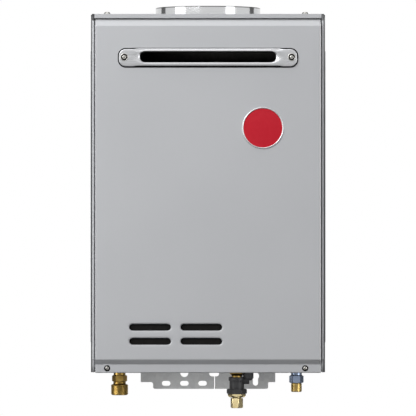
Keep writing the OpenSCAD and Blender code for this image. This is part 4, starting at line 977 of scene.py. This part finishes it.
# %% Fitting surface
def fitting(node, x, sections, finish=None, around=120, sharp=28):
    """A closed turned surface about a vertical axis: rows of (radius, height, flats, spin, pitch, depth).

    Heights count from the case's foot. Radius = the smaller of the turned radius and half the flats over
    the cosine of the angle to the nearest flat, less depth times a triangle wave of height over pitch
    minus the turn."""
    data = np.array([(*row, *(0.0,) * (6 - len(row))) for row in sections], float)
    turned_r, height, flats, spin, pitch, depth = [column[:, None] for column in data.T]
    z = height + bottom
    turn = np.linspace(0, 2 * math.pi, around + 1)[None]
    near = (turn - spin) % (math.pi / 3) - math.pi / 6
    hexagon = np.where(flats > 0, flats / 2 / np.cos(near), 1e6)
    wave = np.abs((z / np.where(pitch > 0, pitch, 1) - turn / (2 * math.pi)) % 1 - 0.5) * 2
    radius = np.minimum(turned_r, hexagon) - depth * wave
    grid = np.stack([x + radius * np.cos(turn), pipe_y + radius * np.sin(turn), z + 0 * turn], -1)
    return stand_in(surface(node + "_turned", [grid], sharp=sharp), node, finish)


def nut_rows(across, z0, z1, chamfer, spin=0.0):
    """Rows of a hexagon: a cone opens over the chamfer, the full corner runs between, and a cone closes."""
    corner = across / math.cos(math.pi / 6) / 2
    climb = np.linspace(0, 1, 9)
    rows = [(corner - chamfer * (1 - s), z0 + 0.58 * chamfer * s, across, spin) for s in climb]
    return rows + [(corner - chamfer * (1 - s), z1 - 0.58 * chamfer * s, across, spin) for s in climb[::-1]]


def thread_rows(radius, z0, z1, pitch, depth):
    """Rows of a thread, eight to the pitch, whose depth grows from nothing over half a pitch at each end."""
    z = np.linspace(z0, z1, int(8 * abs(z1 - z0) / pitch))
    grow = np.clip(np.minimum(abs(z - z0), abs(z - z1)) / (0.5 * pitch), 0, 1)
    return [(radius, a, 0, 0, pitch, depth * g) for a, g in zip(z, grow)]


pipe_y = -108.0
bottom = low_high("case_shell")[0][2]
print("fittings stand at depth", pipe_y, "below", bottom)

# %% [markdown]
# ## Hot outlet, gas inlet and cold inlet
# The left fitting is aged brass with a hexagon, a waist and a 3/4 inch thread of 14 turns to the inch. The
# right one is a blue zinc union nut on a brass tail with 18 turns to the inch. The middle one ends in a
# cone and a compression nut below a black ring. Every row is a radius and a height, from the bore up the
# outside and back.

# %% Fittings
inch = 25.4
hot_x, gas_x, cold_x = -135.0, 135.0, 44.0
hot_bore, gas_bore, tube_bore, nut_bore, ring_bore = 6.0, 5.0, 6.4, 6.48, 11.28
pan = low_high("bottom_panel")[1][2] - bottom

hot = [(hot_bore, -39.3), (11.5, -39.3), (13.0, -37.8)]
hot += thread_rows(13.05, -37.8, -24.6, inch / 14, 0.24)
hot += [(13.05, -24.4), (12.6, -23.6), (9.9, -22.4), (9.5, -21.6), (9.5, -19.8)]
hot += nut_rows(20.0, -19.4, -8.6, 2.5)
hot += [(9.0, -8.2), (9.0, pan), (14.0, pan), (14.0, pan + 5), (9.0, pan + 6)]
hot += [(9.0, pan + 18), (hot_bore, pan + 18), (hot_bore, -39.3)]
fitting("hot_outlet", hot_x, hot)

tail = [(gas_bore, -34.5), (7.3, -34.5), (8.25, -33.5)]
tail += thread_rows(8.25, -33.5, -23.2, inch / 18, 0.1)
tail += [(8.25, -22.6), (7.4, -21.6), (7.4, -12.1), (gas_bore, -12.1), (gas_bore, -34.5)]
fitting("gas_tail", gas_x, tail, "yellow_brass")

union = [(7.5, -21.2), *nut_rows(19.0, -21.2, -9.0, 2.4)]
union += [(8.3, -8.8), (8.25, -8.4), (8.25, 2.5), (7.9, 3.0), (6.08, 3.0)]
union += [(6.08, -9.7), (7.5, -10.8), (7.5, -21.2)]
fitting("gas_nut", gas_x, union)

cone = [(tube_bore, -40), (tube_bore, -52), (7.1, -52)]
cone += [*thread_rows(7.1, -51.5, -43.4, 1.4, 0.5), (7.1, -42.9)]
flange = [(11.4, -42.8), (12.0, -42.3), (12.6, -41.7), (13.2, -41.0)]
flange += [(13.7, -40.2), (13.8, -39.8), (13.8, -38.7), (13.3, -37.9)]
cone += [(*row, 24.2) for row in flange]
cone += [(11.2, -37.9), (11.2, -34), (5.5, -34), (5.5, -39), (tube_bore, -40)]
fitting("inlet_tail", cold_x, cone)

nut = [(nut_bore, -59.1), *nut_rows(17.0, -59.1, -43.9, 1.4, math.radians(-14))]
nut += [(7.18, -43.9), (7.18, -56.5), (nut_bore, -56.5), (nut_bore, -59.1)]
fitting("compression_nut", cold_x, nut)

ring = [(ring_bore, -37.7), *nut_rows(26.7, -37.7, -29.9, 1.8), (ring_bore, -29.9), (ring_bore, -37.7)]
fitting("lock_ring", cold_x, ring)

# %% [markdown]
# ## Camera
# The photograph is taken square on from a long way off: the sides of the case don't show, and the
# collar's rim bends by only two or three pixels. A long lens about 6 m in front gives that. The picture
# is square, 416 pixels across 622 mm at the cover.

# %% Camera
lens = bpy.data.cameras.new("long lens")
lens.sensor_width, lens.lens = 36.0, 347.0
camera = bpy.data.objects.new("camera", lens)
camera.location, camera.rotation_euler = (0.0, -6.232, -0.2928), (math.pi / 2, 0.0, 0.0)
bpy.context.scene.collection.objects.link(camera)
bpy.context.scene.camera = camera
print("millimetres per pixel at the cover:", round(36 / 347 * 6000 / 416, 4))

# %% [markdown]
# ## Studio light
# A large soft lamp hangs in front and above, so that the upper bevel is lighter than the face and the
# lower bevel is dark. A low lamp reaches under the case to the fittings, and a small one there faces the
# bracket. Two tall strip lamps stand left and right of the camera and only show as the white bands in
# polished metal. Weak lamps at the sides and the back keep those walls readable.

# %% Lamps
aim = np.array([0.0, -0.15, -0.28])


def soft_lamp(name, spot, width, height, power, target=aim):
    """A rectangular lamp that faces its target: its own depth axis runs from the target to the lamp."""
    light = bpy.data.lights.new(name, "AREA")
    light.shape, light.size, light.size_y, light.energy = "RECTANGLE", width, height, power
    lamp = bpy.data.objects.new(name, light)
    bpy.context.scene.collection.objects.link(lamp)
    back = np.array(spot, float) - target
    back /= np.linalg.norm(back)
    side = np.cross((0, 0, 1), back)
    side /= np.linalg.norm(side)
    turn = np.eye(4)
    turn[:3, :3] = np.stack([side, np.cross(back, side), back], 1)
    turn[:3, 3] = spot
    lamp.matrix_world = Matrix(turn.tolist())
    lamp.visible_camera = False
    return lamp


soft_lamp("key lamp", (-1.8, -2.75, 1.45), 2.0, 1.4, 80)
soft_lamp("overhead lamp", (-0.2, -0.4, 1.9), 1.6, 1.2, 14)
soft_lamp("low lamp", (-1.0, -3.2, -0.45), 1.6, 0.5, 23).visible_glossy = False
bracket_aim = (0.02, 0.0, -0.56)
soft_lamp("bracket lamp", (0.02, -0.2, -0.69), 0.5, 0.06, 0.15, bracket_aim).visible_glossy = False
for name, spot, power in (
    ("left lamp", (-2.2, 2.6, 0.8), 40),
    ("right lamp", (2.2, 2.6, 0.8), 40),
    ("back lamp", (0.6, 3.4, 1.0), 55),
):
    soft_lamp(name, spot, 1.8, 1.5, power).visible_glossy = False
for name, angle, width in (("left strip", -63, 1.0), ("right strip", 50, 0.85)):
    a = math.radians(angle)
    strip = soft_lamp(name, (2.4 * math.sin(a), -0.1 - 2.4 * math.cos(a), -0.28), width, 2.0, 20)
    strip.visible_diffuse = False
print("lamps:", len(bpy.data.lights))

# %% [markdown]
# ## Cards for the mirrors
# Polished metal shows only what stands about it, so a photographer sets cards round it. Dark cards at
# both sides give metal its dark edges, and grey ones stand for the room, the ceiling and the table. More
# lamps would light the paint as well, so these cards glow in mirrors alone.

# %% Cards
def grey_card(name, middle, across, along, level):
    """A card that only mirrors see: middle plus and minus half its two sides, glowing at its grey level."""
    u, v = np.meshgrid([-0.5, 0.5], [-0.5, 0.5])
    points = np.array(middle) + u[..., None] * np.array(across) + v[..., None] * np.array(along)
    card = surface(name, [points / MM], outward=False)
    glow, shader = start_finish("Card " + name, Base_Color=tone("#000000"), Roughness=1.0)
    shader.inputs["Emission Color"].default_value = tone("#FFFFFF")
    shader.inputs["Emission Strength"].default_value = level
    card.data.materials.append(glow)
    card.visible_camera = card.visible_diffuse = card.visible_shadow = False


for name, angle, wide, low_end, high_end, level in (
    ("left_edge_card", -114, 0.44, -0.02, 0.7, 0.16),
    ("right_edge_card", 111, 0.44, -0.02, 0.7, 0.16),
    ("left_side_card", -125, 2.7, -1.4, -0.025, 0.05),
    ("right_side_card", 125, 2.7, -1.4, -0.025, 0.05),
    ("left_high_card", -134, 2.0, 0.3, 2.4, 0.05),
    ("right_high_card", 134, 2.0, 0.3, 2.4, 0.05),
):
    a = math.radians(angle)
    spot = (1.5 * math.sin(a), -0.1 - 1.5 * math.cos(a), (low_end + high_end) / 2)
    grey_card(name, spot, (wide * math.cos(a), wide * math.sin(a), 0), (0, 0, high_end - low_end), level)
grey_card("room_card", (0, -7.8, -1.39), (5, 0, 0), (0, 0, 1.78), 0.68)
grey_card("lens_card", (0, -7.8, -0.11), (1.8, 0, 0), (0, 0, 0.78), 0.5)
grey_card("ceiling_card", (0, 2.1, 2.6), (6, 0, 0), (0, 4.2, 0), 0.1)
grey_card("table_card", (0, -0.35, -0.71), (2.4, 0, 0), (0, 1.1, 0), 0.08)

# %% [markdown]
# ## Floor
# The photograph has a plain white ground. The floor is a pale disc below the heater that keeps its
# shadow, and it fades to white before its edge so that no line shows. To the light that it throws back up
# it is a darker grey, and from below it is clear.

# %% Floor
def looked_at(material):
    """1 where the camera, a mirror or glass looks, and 0 for the light that is thrown on."""
    path = add(material, "LightPath")
    seen = path.outputs["Is Camera Ray"]
    for ray in ("Is Glossy Ray", "Is Transmission Ray"):
        seen = add(material, "Math", {0: seen, 1: path.outputs[ray]}, operation="MAXIMUM").outputs[0]
    return seen


floor_r, floor_z = 2100, -720
radius = np.linspace(0, floor_r, 24)[:, None]
turn = np.linspace(2 * math.pi, 0, 97)[None]
disc = np.stack([radius * np.cos(turn), radius * np.sin(turn) + pipe_y, 0 * radius * turn + floor_z], -1)
floor = surface("floor", [disc], outward=False)
pale, shader = start_finish("Pale studio floor", Roughness=0.8)
seen = looked_at(pale)
colour = add(pale, "Mix", {0: seen, 6: tone("#505050"), 7: tone("#FAFAFA")}, data_type="RGBA")
feed(shader, Base_Color=colour.outputs[2])
white = add(pale, "Emission", {"Color": tone("#FFFFFF"), "Strength": 1.0})
clear = add(pale, "BsdfTransparent")
far = add(pale, "VectorMath", {0: add(pale, "TexCoord").outputs["Object"]}, operation="LENGTH")
limits = {"Value": far.outputs["Value"], "From Min": 0.85, "From Max": 1.7}
fade = add(pale, "MapRange", limits, interpolation_type="SMOOTHSTEP")
fade = add(pale, "Math", {0: fade.outputs[0], 1: seen}, operation="MULTIPLY")
ground = add(pale, "MixShader", {0: fade.outputs[0], 1: shader.outputs[0], 2: white.outputs[0]})
behind = add(pale, "NewGeometry").outputs["Backfacing"]
through = add(pale, "MixShader", {0: behind, 1: ground.outputs[0], 2: clear.outputs[0]})
feed(pale.node_tree.nodes["Material Output"], Surface=through.outputs[0])
floor.data.materials.append(pale)

# %% [markdown]
# ## World
# A white studio lights the object from all round. Here the world is white to the camera and to mirrors,
# and gives a weaker soft light, darker from below, to everything else. A plain white world would wash out
# the shadows that shape the case.

# %% World
world = bpy.data.worlds.new("white studio")
world.use_nodes = True
bpy.context.scene.world = world
seen = looked_at(world)
height = add(world, "SeparateXYZ", {0: add(world, "TexCoord").outputs["Generated"]})
limits = {"Value": height.outputs["Z"], "From Min": -0.5, "From Max": 0.4, "To Min": 0.08, "To Max": 0.16}
fill = add(world, "MapRange", limits)
level = add(world, "Mix", {0: seen, 2: fill.outputs[0], 3: 1.0}, data_type="FLOAT")
sky = world.node_tree.nodes["Background"]
sky.inputs["Color"].default_value = tone("#FFFFFF")
feed(sky, Strength=level.outputs[0])
bpy.context.scene.view_settings.view_transform = "Standard"
print("world:", world.name)
